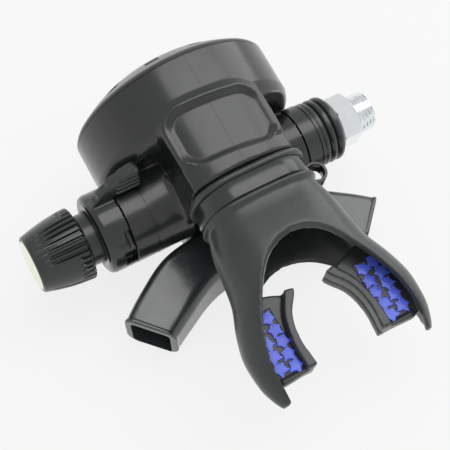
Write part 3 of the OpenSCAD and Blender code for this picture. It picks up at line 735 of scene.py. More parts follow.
@dataclass(frozen=True)
class Moulding:
    """Injection-moulded thermoplastic: an even skin with a fine texture from the
    tool, a little uneven in its gloss where hands and water have been."""

    name: str
    low: str
    high: str
    rough: Point2
    grain_mm: float = 0.5
    depth_mm: float = 0.006
    flow_mm: float = 18.0
    ior: float = 1.5
    coat: float = 0.3
    # X of the line where the mould parts, in metres; then how far from there its
    # floor and its flanks reach, and its depth
    parting: float | None = None
    parting_mm: Point2 = (0.05, 0.22)
    parting_depth_mm: float = 0.06

    def material(self) -> bpy.types.Material:
        """Makes the material.

        Returns:
            The material.
        """
        recipe = Recipe(self.name)
        recipe.tone(recipe.noise(self.flow_mm, detail=4), self.low, self.high)
        recipe.gloss(recipe.noise(self.flow_mm / 3, detail=5), *self.rough)
        recipe.relief(recipe.noise(self.grain_mm, detail=2), self.depth_mm)
        if self.parting is not None:
            recipe.relief(self.parting_line(recipe), self.parting_depth_mm)
        recipe.put(IOR=self.ior, Coat_Weight=self.coat, Coat_Roughness=0.15)
        return recipe.material

    def parting_line(self, recipe: Recipe) -> Socket:
        """Draws the fine line that the two halves of a mould leave.

        Args:
            recipe: The material in the making.

        Returns:
            0 on the line and 1 beside it.
        """
        split = recipe.add("ShaderNodeSeparateXYZ", {"Vector": recipe.place})
        away = recipe.add("ShaderNodeMath", {0: split.outputs["X"]}, {1: self.parting},
                          operation="SUBTRACT")
        apart = recipe.add("ShaderNodeMath", {0: away.outputs[0]}, operation="ABSOLUTE")
        near, far = (size * MM for size in self.parting_mm)
        return recipe.add("ShaderNodeMapRange", {"Value": apart.outputs[0]}, {
            "From Min": near, "From Max": far, "To Min": 0.0, "To Max": 1.0}).outputs[0]


@dataclass(frozen=True)
class Rubber:
    """Moulded silicone or rubber: matt with a soft sheen, faintly cloudy, with the
    fine pitting of a blasted tool."""

    name: str
    low: str
    high: str
    rough: Point2
    pit_mm: float = 0.35
    depth_mm: float = 0.01
    cloud_mm: float = 9.0
    smudge_mm: float = 5.0
    sheen: float = 0.0

    def material(self) -> bpy.types.Material:
        """Makes the material.

        Returns:
            The material.
        """
        recipe = Recipe(self.name)
        recipe.tone(recipe.noise(self.cloud_mm, detail=4), self.low, self.high)
        recipe.gloss(recipe.noise(self.smudge_mm, detail=5), *self.rough)
        recipe.relief(recipe.noise(self.pit_mm, detail=3), self.depth_mm)
        recipe.put(IOR=1.43, Sheen_Weight=self.sheen, Sheen_Roughness=0.5,
                   Coat_Weight=0.3, Coat_Roughness=0.22)
        return recipe.material


@dataclass(frozen=True)
class Metal:
    """Metal, plated or bare: turned along the valve tube, so its marks run round."""

    name: str
    low: str
    high: str
    rough: Point2
    mark_mm: float = 0.25
    depth_mm: float = 0.004
    tint_mm: float = 3.0
    smudge_mm: float = 2.0
    # how much the pattern is packed along the tube, and drawn out round it
    stretch: tuple[float, float, float] = (8.0, 0.6, 0.6)

    def material(self) -> bpy.types.Material:
        """Makes the material.

        Returns:
            The material.
        """
        recipe = Recipe(self.name)
        recipe.tone(recipe.noise(self.tint_mm, detail=3), self.low, self.high)
        recipe.gloss(recipe.noise(self.smudge_mm, detail=4), *self.rough)
        marks = recipe.noise(self.mark_mm * self.stretch[0], 3, self.stretch)
        recipe.relief(marks, self.depth_mm, strength=0.6)
        recipe.put(Metallic=1.0)
        return recipe.material


class Finishes:
    """Every finish of the set, made once."""

    def __init__(self) -> None:
        """Makes the materials."""
        low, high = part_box("front_cover")
        # glass-filled nylon, moulded in a polished tool: deep black with a soft gloss
        self.casing = Moulding("gloss_nylon_casing", "#151717", "#1D1F1F", (0.2, 0.3),
                               parting=(low.x + high.x) / 2).material()
        # the same nylon, for the cover: the same gloss without the parting line
        self.cover = Moulding("gloss_nylon_cover", "#161818", "#1E2020", (0.24, 0.34)).material()
        # elastomer over the purge button: a satin that feels soft
        self.button = Moulding("satin_elastomer_button", "#15171A", "#1D2023", (0.42, 0.54),
                               grain_mm=0.4, depth_mm=0.012).material()
        # acetal inside the case: dull and dark grey
        self.inner = Moulding("dull_acetal_inner", "#26282A", "#323437", (0.5, 0.6)).material()
        # polished nylon of the lever: hard gloss
        self.lever = Moulding("polished_nylon_lever", "#16181A", "#1F2123", (0.16, 0.26),
                              depth_mm=0.004).material()
        # textured nylon of the knob: fine satin that shows its ribs
        self.knob = Moulding("satin_nylon_knob", "#17191A", "#212425", (0.22, 0.34),
                             grain_mm=0.35, depth_mm=0.008).material()
        # phosphorescent cap: pale yellow-green, softly matt
        self.cap = Moulding("pale_glow_plastic_cap", "#F1F6D6", "#F8FCE6", (0.35, 0.45),
                            depth_mm=0.004, flow_mm=6.0).material()
        # nylon of the sleeve: satin, so that the ribs show
        self.ribs = Moulding("satin_nylon_sleeve", "#191A1B", "#222425", (0.24, 0.36)).material()
        # thin-walled nylon of the exhaust tee: satin with a light sheen
        self.tee = Moulding("satin_nylon_tee", "#242728", "#2E3133", (0.22, 0.34),
                            grain_mm=0.4, coat=0.6, ior=1.58).material()
        # nylon of the band clamp: black with a clear gloss
        self.clamp = Moulding("gloss_nylon_clamp", "#16181A", "#1F2122", (0.18, 0.28)).material()
        # liquid silicone rubber: dark grey, satin
        self.silicone = Rubber("satin_silicone", "#242627", "#2E3031", (0.3, 0.42),
                               sheen=0.08).material()
        # silicone of the bite pads: a warm grey plate, matt
        self.pad_base = Rubber("warm_grey_silicone_pad", "#3A3735", "#474340",
                               (0.5, 0.6)).material()
        # and its raised tiles: clear blue, smoother where the teeth rub
        self.pad_tile = Rubber("blue_silicone_tile", "#4557D2", "#5B6DE6", (0.3, 0.4),
                               pit_mm=0.3, depth_mm=0.008).material()
        # thin moulded rubber: matt and dark
        self.diaphragm = Rubber("matt_rubber_diaphragm", "#2A2C2E", "#34373A",
                                (0.55, 0.7)).material()
        # nitrile rubber: nearly black
        self.o_ring = Rubber("nitrile_ring", "#101111", "#191A1A", (0.4, 0.5)).material()
        # bright chrome on brass: mirror-like with faint turning marks
        self.chrome = Metal("bright_chrome", "#ECEFF3", "#F6F8FA", (0.14, 0.2),
                            mark_mm=0.4, depth_mm=0.0006).material()
        # bare metals, as the lathe or the die leaves them: bright with fine marks
        self.brass = Metal("turned_brass", "#B8A26A", "#CDB97F", (0.2, 0.32)).material()
        self.steel = Metal("turned_steel", "#B9BCC0", "#CDD0D3", (0.2, 0.34)).material()
        self.spring = Metal("drawn_spring_wire", "#9A9DA2", "#B4B7BB", (0.22, 0.36)).material()

    def dress_solids(self) -> None:
        """Gives each CAD solid the finish of what it is made of."""
        worn = ((self.casing, "case_body"), (self.cover, "front_cover"),
                (self.button, "purge_button"), (self.knob, "knob"), (self.cap, "knob_insert"),
                (self.inner, "purge_guard", "diaphragm_washer", "venturi_vane"),
                (self.lever, "venturi_lever"), (self.tee, "exhaust_tee"),
                (self.ribs, "heat_exchanger", "packing_nut"), (self.clamp, "mouthpiece_clamp"),
                (self.silicone, "mouthpiece"),
                (self.pad_tile, "bite_pad_left", "bite_pad_right"),
                (self.diaphragm, "diaphragm", "exhaust_valve"),
                (self.o_ring, "orifice_o_ring", "poppet_seat", "screw_o_ring", "vane_o_ring"),
                (self.chrome, "valve_barrel"), (self.brass, "orifice", "poppet"),
                (self.steel, "diaphragm_disc", "spring_pad", "demand_lever", "adjusting_screw",
                 "knob_screw"), (self.spring, "purge_spring", "poppet_spring"))
        for finish, *nodes in worn:
            for solid in (frame["nodes"][node] for node in nodes):
                solid.data.materials.clear()
                solid.data.materials.append(finish)
                Bench.smooth(solid, degrees=28)


# ---- casing ----------------------------------------------------------------


@dataclass
class Casing:
    """The moulded case: round drum, mouthpiece block with its sunk panel, two bosses."""

    finishes: Finishes
    # the drum, whose back edge is round and whose ledge holds the diaphragm
    radius: float = field(init=False)
    front: float = field(init=False)
    back: float = 11.0
    fillet: float = 5.5
    wall: float = 2.4
    ledge_in: float = 3.6
    ledge_deep: float = 3.5
    ledge_thick: float = 1.0
    # the block, whose flat back leans with the tube and turns in at the heel
    half: float = 18.5
    block_back: float = 11.6
    block_low: float = 12.8
    flat_drop: float = 15.5
    heel_in: float = 3.2
    heel_round: float = 4.0
    # the oval tube on it, which carries the mouthpiece, and the room behind it
    tube_z: float = 21.5
    tube_shift: float = 1.6
    tilt: float = math.radians(4.6)
    spigot: Point2 = (36.0, 22.4)
    spigot_length: float = 9.0
    passage: Point2 = (32.0, 18.4)
    room_rise: float = 9.2
    # the bosses: the knob's swells a little towards the block, the hose's flares
    knob_boss_r: float = 14.4
    hose_boss_r: float = 12.3
    boss_ends: Point2 = (-38.0, 32.0)
    boss_sides: int = 96
    swell: float = 0.9
    swell_from_end: float = 9.5
    flare: float = 2.6
    flare_length: float = 8.0
    # the fine line round the knob boss, from the boss's end
    line: Point2 = (8.1, 8.6)
    line_depth: float = 0.3
    # the bores
    vane_bore_r: float = 9.25
    barrel_bore_r: float = 8.05
    sleeve_room_r: float = 12.7
    # where the skin is smoothed, by the knob boss: the valley under the block's
    # shoulder, and that shoulder. Each edge is 0 for the distance from the flank, 1
    # for Y or 2 for Z, with its place and how far past it the smoothing is whole
    valley: Rows = ((0, 6.4, -4.0), (1, -10.5, 2.5), (1, 14.5, -2.0), (2, -9.0, 4.0),
                    (2, 28.5, -4.0))
    shoulder: Rows = ((0, 3.36, -2.4), (1, -11.0, 2.0), (1, 17.0, -4.0), (2, 26.0, 3.0))
    # the panel that is sunk in the block's top, and the crest round it
    panel_low: Point2 = (-14.6, -3.4)
    panel_high: Point2 = (15.0, 13.6)
    panel_slant: Point2 = (0.07, 0.05)
    panel_round: float = 4.6
    panel_depth: float = 1.3
    crest_rise: float = 0.75
    crest_in: float = 2.6
    crest_out: float = 3.2
    # the exhaust port: a ring of openings between spokes
    port_z: float = -24.0
    port_r: float = 7.4
    hub_r: float = 2.8
    spoke_half: float = 0.8

    def __post_init__(self) -> None:
        """Takes the drum's size from its solids."""
        self.radius = span("front_cover")[1].x
        self.front = span("case_body")[1].y

    def drum(self) -> Piece:
        """Makes the drum with its round back edge.

        Returns:
            The drum.
        """
        arc = [(self.radius - self.fillet * (1 - math.sin(a)),
                self.back + self.fillet * (1 - math.cos(a)))
               for a in (math.pi / 2 * t for t in shares(8))]
        return Bench.turned("casing_shell", [(0.0, self.back), *arc,
                            (self.radius, self.front + 1), (0.0, self.front + 1)],
                            Axis.Y, steps=160)

    def block(self) -> Piece:
        """Makes the block that carries the mouthpiece, flush with the drum on top.

        Returns:
            The block.
        """
        lean = math.tan(self.tilt)
        # the top stands out of the drum, and the crown trims it
        top, front = self.radius + 2, self.front - 2
        side = [(-self.block_back + (top - self.tube_z) * lean, top),
                (-self.block_back - self.flat_drop * lean, self.tube_z - self.flat_drop),
                (-self.block_back + self.heel_in, -self.block_low), (front, -self.block_low),
                (front, top)]
        piece = Bench.prism("block", side, Axis.X, -self.half, self.half)
        Bench.round_edges(piece, self.heel_round, 6,
                          lambda middle, way: abs(way.y) > 0.95 and middle.z < 0)
        crown = Bench.rod("crown", self.radius, (0, -20, 0), (0, self.front - 1, 0), 200)
        Bench.work(piece, crown, Join.KEEP)
        return piece

    def bosses(self) -> list[Piece]:
        """Makes the two bosses, which start inside the block.

        Returns:
            The knob's boss with its swell on the upper side, and the hose's with its flare.
        """
        left, right = self.boss_ends
        thick, thin, sides = self.knob_boss_r, self.hose_boss_r, self.boss_sides
        return [Bench.rod("boss_knob", thick, (-self.half + 0.6, 0, 0), (left, 0, 0), sides),
                Bench.rod("boss_swell", thick + self.swell,
                          (-self.half + 2, self.swell, self.swell),
                          (left + self.swell_from_end, 0, 0), sides, thick - 0.05),
                Bench.rod("boss_hose", thin, (self.half - 4.5, 0, 0), (right, 0, 0), sides),
                Bench.rod("boss_flare", thin + self.flare, (self.half - 0.5, 0, 0),
                          (self.half + self.flare_length, 0, 0), sides, thin - 0.4)]

    def blend_valley(self, piece: Piece) -> None:
        """Rounds the valley between the block's flank, the knob boss and the drum.

        Args:
            piece: The fused skin.
        """
        group = piece.vertex_groups.new(name="valley")
        for vertex in piece.data.vertices:
            x, y, z = vertex.co
            # the valley's middle lies a little outside the flank
            deep, soft = (math.prod(ease((place[axis] - edge) / width)
                                    for axis, edge, width in region)
                          for place, region in (((abs(x + self.half + 0.6), y, z), self.valley),
                                                ((abs(x + self.half), y, z), self.shoulder)))
            weight = max(deep, 0.8 * soft)
            if weight > 0.01:
                group.add([vertex.index], weight, "REPLACE")
        Bench.apply(piece, "SMOOTH", factor=0.5, iterations=110, vertex_group="valley")

    def panel_height(self, x: float, y: float) -> float:
        """Works out how far the crown stands out at a place: a crest round a sunk panel.

        Args:
            x: Place along the valve tube.
            y: Place towards the cover.

        Returns:
            The height over the drum's radius.
        """
        low = self.panel_low[1] - self.panel_slant[0] * x
        high = self.panel_high[1] - self.panel_slant[1] * x
        middle = ((self.panel_low[0] + self.panel_high[0]) / 2, (low + high) / 2)
        dx = abs(x - middle[0]) - (self.panel_high[0] - middle[0] - self.panel_round)
        dy = abs(y - middle[1]) - (high - middle[1] - self.panel_round)
        away = (math.hypot(max(dx, 0.0), max(dy, 0.0)) + min(max(dx, dy), 0.0)
                - self.panel_round)
        # towards the mouthpiece the crest dies away to a plain step
        plain = ease((low - y) / 1.5 + 0.4)
        width = self.crest_in - 0.5 * plain
        rise = self.crest_rise * (1 - 0.95 * plain)
        slope = ease(away / width)
        return (rise * slope - self.panel_depth * (1 - slope)
                - rise * ease((away - width) / self.crest_out))

    def true_up(self, piece: Piece) -> None:
        """Sets the skin exactly on the drum and the bosses, and shapes the panel.

        Args:
            piece: The fused skin, whose points lie half a millimetre apart.
        """
        # how near the skin is to the drum and to a boss where it belongs to them
        near_drum, near_boss = 0.3, 0.25
        # a boss is plain past its swell or its flare
        plain_knob, plain_hose = -self.half - 10.5, self.half + 9
        # the crown is the top of the block, this deep and behind the cover
        crown_z, crown_y, crown_depth, fade = 24, 22, 2.5, 2.0
        for vertex in piece.data.vertices:
            x, y, z = vertex.co
            around, about = math.hypot(x, z), math.hypot(y, z)
            if abs(around - self.radius) < near_drum and y > self.back + self.fillet - 1:
                vertex.co.x, vertex.co.z = x * self.radius / around, z * self.radius / around
            for radius, plain in ((self.knob_boss_r, x < plain_knob),
                                  (self.hose_boss_r, x > plain_hose)):
                if plain and abs(about - radius) < near_boss:
                    vertex.co.y, vertex.co.z = y * radius / about, z * radius / about
            if z > crown_z and around > self.radius - crown_depth and y < crown_y:
                share = clamp((around - self.radius + crown_depth) / fade)
                scale = 1 + self.panel_height(x, y) * share / around
                vertex.co.x, vertex.co.z = vertex.co.x * scale, vertex.co.z * scale
        piece.data.update()

    def tube_frame(self) -> Matrix:
        """Returns the matrix from the mouthpiece's frame to the case's."""
        return (Matrix.Translation((self.tube_shift, -self.block_back - 0.15, self.tube_z))
                @ Matrix.Rotation(-self.tilt, 4, "X"))

    def oval(self, name: str, size: Point2, near: float, far: float) -> Piece:
        """Makes an oval prism along the mouthpiece's axis.

        Args:
            name: Its name.
            size: Width and height of the oval.
            near: Distance from the block at which it starts.
            far: Distance at which it ends.

        Returns:
            The prism, in the case's frame.
        """
        width, height = size
        outline = round_outline((-width / 2, -height / 2), (width / 2, height / 2),
                                height / 2 - 0.01, 12)
        piece = Bench.prism(name, outline, Axis.Y, -far, -near)
        return Bench.move(piece, self.tube_frame())

    def bore(self, piece: Piece, name: str, radius: float, start: float, end: float) -> None:
        """Bores a round hole along the valve tube.

        Args:
            piece: The piece that is bored.
            name: The tool's name.
            radius: The hole's radius.
            start: Where it starts.
            end: Where it ends.
        """
        Bench.work(piece, Bench.rod(name, radius, (start, 0, 0), (end, 0, 0), self.boss_sides))

    def hollow(self, piece: Piece) -> None:
        """Cuts the chamber, the air passage, the bores and the exhaust port.

        Args:
            piece: The shell.
        """
        inner, floor = self.radius - self.wall, self.back + self.wall
        ledge, top = self.front - self.ledge_deep, self.front + 1
        under = ledge - self.ledge_thick
        Bench.work(piece, Bench.turned("chamber", [
            (0, floor), (inner, floor), (inner, under), (inner - self.ledge_in, under),
            (inner - self.ledge_in, ledge), (inner, ledge), (inner, top), (0, top)],
            Axis.Y, steps=128))
        inside = round_outline((-self.half + self.wall, -self.block_low + self.wall),
                               (self.half - self.wall, self.tube_z + self.room_rise), 3)
        Bench.work(piece, Bench.prism("block_room", inside, Axis.Y,
                                      -self.block_back + self.wall, floor + 1))
        Bench.work(piece, self.oval("air_passage", self.passage, -3.6, 12))
        left, right = self.boss_ends
        self.bore(piece, "vane_bore", self.vane_bore_r, left - 1, -15)
        self.bore(piece, "barrel_bore", self.barrel_bore_r, 15, right + 1)
        self.bore(piece, "sleeve_room", self.sleeve_room_r, right - 0.1, self.radius + 2)
        Bench.work(piece, self.port_tool())
        start, end = (left + place for place in self.line)
        line = Bench.rod("line", self.knob_boss_r + 2, (start, 0, 0), (end, 0, 0),
                         self.boss_sides)
        self.bore(line, "core", self.knob_boss_r - self.line_depth, left + 8, left + 9)
        Bench.work(piece, line)

    def port_tool(self) -> Piece:
        """Makes the exhaust port's tool.

        Returns:
            A disc less four spokes and a hub.
        """
        low, high = self.back - 1, self.back + self.wall + 1
        port = Bench.rod("port", self.port_r, (0, low, self.port_z), (0, high, self.port_z))
        low, high = low - 1, high + 1
        for turn in (0.0, math.pi / 2):
            spoke = Bench.block("spoke", (-9, low, -self.spoke_half), (9, high, self.spoke_half))
            Bench.move(spoke, Matrix.Translation((0, 0, self.port_z))
                       @ Matrix.Rotation(turn, 4, "Y"))
            Bench.work(port, spoke)
        Bench.work(port, Bench.rod("hub", self.hub_r, (0, low, self.port_z),
                                   (0, high, self.port_z), 32))
        return port

    def make(self) -> None:
        """Builds the shell and lays it in place of its solid."""
        piece = Bench.join(self.drum(), self.block(), *self.bosses())
        Bench.fuse(piece, voxel=0.5, rounds=12)
        self.blend_valley(piece)
        self.true_up(piece)
        Bench.work(piece, self.oval("spigot", self.spigot, -1.5, self.spigot_length), Join.ADD)
        # the drum's rim and the knob boss's end are crisp edges
        Bench.work(piece, Bench.rod("rim_tool", self.radius + 5, (0, self.front, 0),
                                    (0, self.front + 5, 0), 64))
        left = self.boss_ends[0]
        Bench.work(piece, Bench.rod("end_tool", 20, (left - 3, 0, 0), (left + 0.05, 0, 0), 32))
        self.hollow(piece)
        Bench.smooth(piece, degrees=38)
        Bench.lay(piece, "casing", "casing", self.finishes.casing, "case_body")


# ---- exhaust tee -----------------------------------------------------------


@dataclass
class ExhaustTee:
    """The tee under the block, with two horns that lead the bubbles past the face."""

    finishes: Finishes
    wall: float = 2.0
    corner: float = 3.5
    # along the right horn: rear top corner, front top corner, level of the top,
    # height, and how far the lower edge stands out
    sections: Rows = (
        (-2.0, -12.5, -2.0, -29.6, -4.6, 17.0, 0.0, -4.2),
        (14.0, -12.7, 10.0, -29.6, -4.2, 17.0, 0.0, -4.6),
        (29.0, -15.6, 19.6, -32.3, -3.1, 16.2, 0.0, -4.6),
        (42.0, -23.1, 31.1, -38.6, -2.7, 15.8, -0.3, -3.8),
        (51.5, -30.1, 39.0, -43.1, -2.6, 15.5, -1.0, -3.2))
    # direction in which the horn opens
    opens: Point2 = (0.8, -0.6)
    # the thickened rim: place along the horn, and inset
    rim: Rows = ((0.95, -0.02), (0.962, -0.4), (0.99, -0.42), (1.0, -0.15))

    def ring(self, share: float, inset: float, reach: float = 0.0) -> list[Vector]:
        """Draws the duct's outline at a place along it.

        Args:
            share: Place along the duct, from 0 to 1.
            inset: How far inside the wall the outline lies.
            reach: How far past its end the outline is moved.

        Returns:
            The outline with round corners.
        """
        ax, ay, bx, by, top, height, lean_x, lean_y = through(self.sections, share)
        across = Vector((bx - ax, by - ay))
        width = across.length
        outline = round_outline((inset, inset), (width - inset, height - 0.25 * inset),
                                max(self.corner - inset, 0.9), 5)
        return [Vector((ax + across.x * u / width + lean_x * v / height + reach * self.opens[0],
                        ay + across.y * u / width + lean_y * v / height + reach * self.opens[1],
                        top - v)) for u, v in outline]

    def horn(self, name: str, inset: float, reach: float) -> Piece:
        """Makes the right horn as a closed duct.

        Args:
            name: Its name.
            inset: How far inside the wall it lies.
            reach: How far past the horn's end it runs.

        Returns:
            The duct.
        """
        rings = [self.ring(t, inset) for t in shares(24)]
        if reach:
            rings.append(self.ring(1.0, inset, reach))
        return Bench.lofted(name, rings)

    def trunk(self, name: str, inset: float) -> Piece:
        """Makes the trunk from the exhaust port to where the horns part.

        Args:
            name: Its name.
            inset: How far inside the wall it lies.

        Returns:
            The closed trunk.
        """
        # inside, the first stretch is straight, so the valve can lift off its seat
        start = 12.0 if inset else 9.4
        # place towards the cover, half width, low and high
        stations = ((start, 13.5 - inset, -35.0 + inset, -13.2 - inset),
                    (7.0, 13.6 - inset, -34.7 + 0.9 * inset, -13.2 - inset),
                    (-10.5, 15.5 - inset, -28.3 + inset, -13.2 - inset),
                    (-12.5, 15.5 - inset, -28.3 + inset, -13.2 - inset),
                    (-14.0 - inset, 11.5 - inset, -22.0 + inset, -6.2 - inset),
                    (-28.0 + inset, 11.5 - inset, -22.0 + inset, -6.2 - inset))
        return Bench.lofted(name, [[Vector((x, y, z)) for x, z in
                                    round_outline((-half, low), (half, high), 4 - inset, 4)]
                                   for y, half, low, high in stations])

    def make(self) -> None:
        """Builds the tee and lays it in place of its solid."""
        horn = self.horn("exhaust_horns", 0.0, 0.0)
        rim = Bench.lofted("rim", [self.ring(share, inset) for share, inset in self.rim])
        piece = Bench.join(horn, Bench.mirrored(horn), rim, Bench.mirrored(rim),
                           self.trunk("trunk", 0.0))
        Bench.fuse(piece, voxel=0.36, rounds=6)
        inner = self.horn("inside", self.wall, 3.0)
        for tool in (inner, Bench.mirrored(inner), self.trunk("trunk_inside", self.wall)):
            Bench.work(piece, tool)
        Bench.smooth(piece, degrees=40)
        Bench.lay(piece, "casing", "tee_plastic", self.finishes.tee, "exhaust_tee")


# ---- mouthpiece ------------------------------------------------------------


@dataclass
class Mouthpiece:
    """Silicone mouthpiece: oval tube, lip wings, two bite tabs with tiled pads.

    Its frame starts where the tube leaves the block, and distances run out of it.
    """

    finishes: Finishes
    casing: Casing
    wall: float = 2.7
    sides: int = 96
    # distance from the block, half width, half height, squareness
    skin: Rows = (
        (12.4, 20.3, 13.3, 2.7), (15.4, 21.4, 13.5, 2.6), (20.0, 22.7, 14.2, 2.4),
        (27.0, 23.8, 15.1, 2.2), (36.0, 25.5, 15.5, 2.1), (44.0, 28.7, 15.5, 2.1),
        (52.0, 31.0, 14.9, 2.1), (58.0, 31.3, 13.9, 2.1), (64.0, 30.8, 12.3, 2.1),
        (68.6, 29.4, 10.2, 2.1), (71.0, 28.3, 9.0, 2.1), (72.2, 27.5, 8.4, 2.1))
    # the two beads that hold the clamp between them
    beads: Rows = (
        (0.0, 20.6, 14.1, 2.9), (0.5, 21.2, 14.7, 2.9), (1.9, 21.2, 14.7, 2.9),
        (2.5, 20.5, 14.0, 2.9), (9.0, 20.5, 14.0, 2.9), (9.5, 21.1, 14.6, 2.9),
        (10.5, 21.1, 14.6, 2.9), (11.1, 20.2, 13.6, 2.8))
    # the bore's first row, and how far out it runs
    bore_start: tuple[float, ...] = (-1.0, 20.5, 14.0, 2.9)
    bore_end: float = 75.0
    # the clamp's seat between the beads: distances, and the half sizes that are left
    seat: Point2 = (2.5, 9.0)
    seat_half: Point2 = (19.6, 13.1)
    # the opening between the wings: out from the middle, distance
    arch: Rows = (
        (0.0, 25.2), (5.0, 26.2), (9.6, 28.3), (13.6, 31.8), (16.6, 35.6), (19.4, 40.0),
        (23.2, 49.0), (25.2, 57.0), (25.8, 64.5), (25.2, 72.0), (25.0, 80.0))
    # the rail's side that faces the middle: out from the middle, distance
    rail: Rows = (
        (5.8, 40.6), (7.2, 43.0), (9.2, 45.5), (10.8, 48.0), (12.0, 51.4), (12.6, 55.0),
        (12.7, 59.0), (12.3, 63.0), (12.1, 65.6))
    rail_width: float = 3.0
    rail_half: float = 4.6
    # a tab: its inner edge, where it starts and ends, and its thickness
    inner: float = 12.6
    near: float = 38.3
    far: float = 65.8
    thick: float = 3.0
    # a pad: from the tab's inner edge and tip, its width and its share of the tab
    pad_in: Point2 = (3.0, 1.8)
    pad_width: float = 9.4
    pad_share: float = 0.79
    pad_half: float = 1.65
    # its tiles: rows and columns, the first one's place, their spacing and size
    tile_grid: tuple[int, int] = (5, 2)
    tile_first: Point2 = (2.2, 2.0)
    tile_pitch: Point2 = (4.9, 4.3)
    tile_size: float = 2.75
    tile_rise: float = 0.6
    # half of a tile's outline, a plump scute with a pointed end
    scute: Rows = ((1.12, 0.0), (0.7, 0.2), (0.42, 0.5), (0.2, 0.88), (-0.1, 0.66),
                   (-0.5, 0.62), (-0.92, 0.78), (-0.82, 0.36), (-0.66, 0.0))

    def ring(self, row: Sequence[float], inset: float) -> list[Vector]:
        """Draws one outline of the trumpet.

        Args:
            row: Distance, half width, half height and squareness.
            inset: How far inside the skin it lies.

        Returns:
            A superellipse in the mouthpiece's frame.
        """
        distance, half_w, half_h, square = row
        points = []
        for k in range(self.sides):
            a = math.tau * k / self.sides
            across, up = (math.copysign(abs(part) ** (2 / square), part)
                          for part in (math.sin(a), math.cos(a)))
            points.append(Vector(((half_w - inset) * across, -distance,
                                  (half_h - inset) * up)))
        return points

    def trumpet(self, name: str, inset: float) -> Piece:
        """Makes the trumpet as a closed form.

        Args:
            name: Its name.
            inset: How far inside the skin it lies; an inner form runs past both ends.

        Returns:
            The form, in the mouthpiece's frame.
        """
        rows = [through(self.skin, t) for t in shares(60)]
        if inset:
            rows = [self.bore_start, *rows, [self.bore_end, *rows[-1][1:]]]
        else:
            rows = [*self.beads, *rows]
        return Bench.lofted(name, [self.ring(row, inset) for row in rows])

    def arch_tool(self, lip: Lip) -> Piece:
        """Makes the tool that parts the two wings, above or below the middle.

        Args:
            lip: The lip that it cuts; the lower one reaches further out.

        Returns:
            The tool, whose cut face slants so that the lip shows its thickness.
        """
        up, wide, slant, level, setback = lip.value
        half = [through(self.arch, t) for t in shares(48)]
        outline = ([(x * wide, -d) for x, d in half]
                   + [(-x * wide, -d) for x, d in reversed(half[1:])])
        tool = Bench.prism("arch_tool", outline, Axis.Z, *sorted((0.0, 30.0 * up)))
        # the slant is whole at the arch and dies away towards the wings' tips
        whole, none = 40, 60
        for vertex in tool.data.vertices:
            share = clamp((none + vertex.co.y) / (none - whole))
            vertex.co.y += (slant * (up * vertex.co.z - level) - setback) * share
        return tool

    def seat_tool(self) -> Piece:
        """Makes the tool that sinks the clamp's seat into the tube.

        Returns:
            The tool, a plate with an oval hole.
        """
        near, far = self.seat
        half_w, half_h = self.seat_half
        tool = Bench.prism("recess", round_outline((-24, -18), (24, 18), 2), Axis.Y, -far, -near)
        hole = round_outline((-half_w, -half_h), (half_w, half_h), half_h - 0.1, 12)
        Bench.work(tool, Bench.prism("core", hole, Axis.Y, -far - 1, -near + 1))
        return tool

    def wing(self, distance: float) -> Point2:
        """Finds the point where a tab ends inside the wing's skin.

        Args:
            distance: Distance from the block.

        Returns:
            The point, out from the middle and along the mouthpiece's axis.
        """
        low = max((row for row in self.skin if row[0] <= distance), key=lambda row: row[0])
        high = min((row for row in self.skin if row[0] >= distance), key=lambda row: row[0])
        share = 0.0 if low is high else (distance - low[0]) / (high[0] - low[0])
        return low[1] + share * (high[1] - low[1]) - 1.8, -distance

    def tab(self) -> list[Piece]:
        """Makes the right bite tab.

        Returns:
            Its plate, the rail the teeth sit behind and the low wall at its tip.
        """
        x, near, far = self.inner, -self.near, -self.far
        # from the tube's side of the tab, along the wing, round the tip and back
        plate = [(x - 4.2, near - 2.6), (x + 0.5, near - 0.4), self.wing(self.near - 3),
                 *(self.wing(self.near + share * (self.far - self.near))
                   for share in (0.41, 0.64, 0.83, 0.93)),
                 (x + 12, far - 0.6), (x + 1, far), (x + 0.8, far + 1.5), (x + 1, near - 14),
                 (x - 1.2, near - 7)]
        curve = [(t, *through(self.rail, t)) for t in shares(32)]
        back = curve[::-1]
        # the rail's outer side waves a little
        rail = Bench.prism("rail", [
            *((x, -d) for t, x, d in curve),
            *((x + self.rail_width + 0.5 * math.cos(math.tau * t), -d + 0.8 * (1 - t))
              for t, x, d in back)], Axis.Z, -self.rail_half, self.rail_half)
        Bench.work(rail, Bench.prism("groove", [
            *((x - 2.0, -d) for t, x, d in curve),
            *((x + 0.6, -d) for t, x, d in back)], Axis.Z, -1.3, 0.3))
        return [Bench.prism("plate", plate, Axis.Z, -self.thick / 2, self.thick / 2), rail,
                Bench.block("tip_wall", (x + 1, far, -2.6), (x + 12, far + 1.1, 2.6))]

    def pad_block(self, name: str, grow: float, half: float) -> Piece:
        """Makes a box of the right pad's size.

        Args:
            name: Its name.
            grow: How much larger than the pad it is all round.
            half: Its half height.

        Returns:
            The box.
        """
        x, y = self.inner + self.pad_in[0] - grow, -self.far + self.pad_in[1] - grow
        length = self.pad_share * (self.far - self.near)
        return Bench.block(name, (x, y, -half),
                           (x + self.pad_width + 2 * grow, y + length + 2 * grow, half))

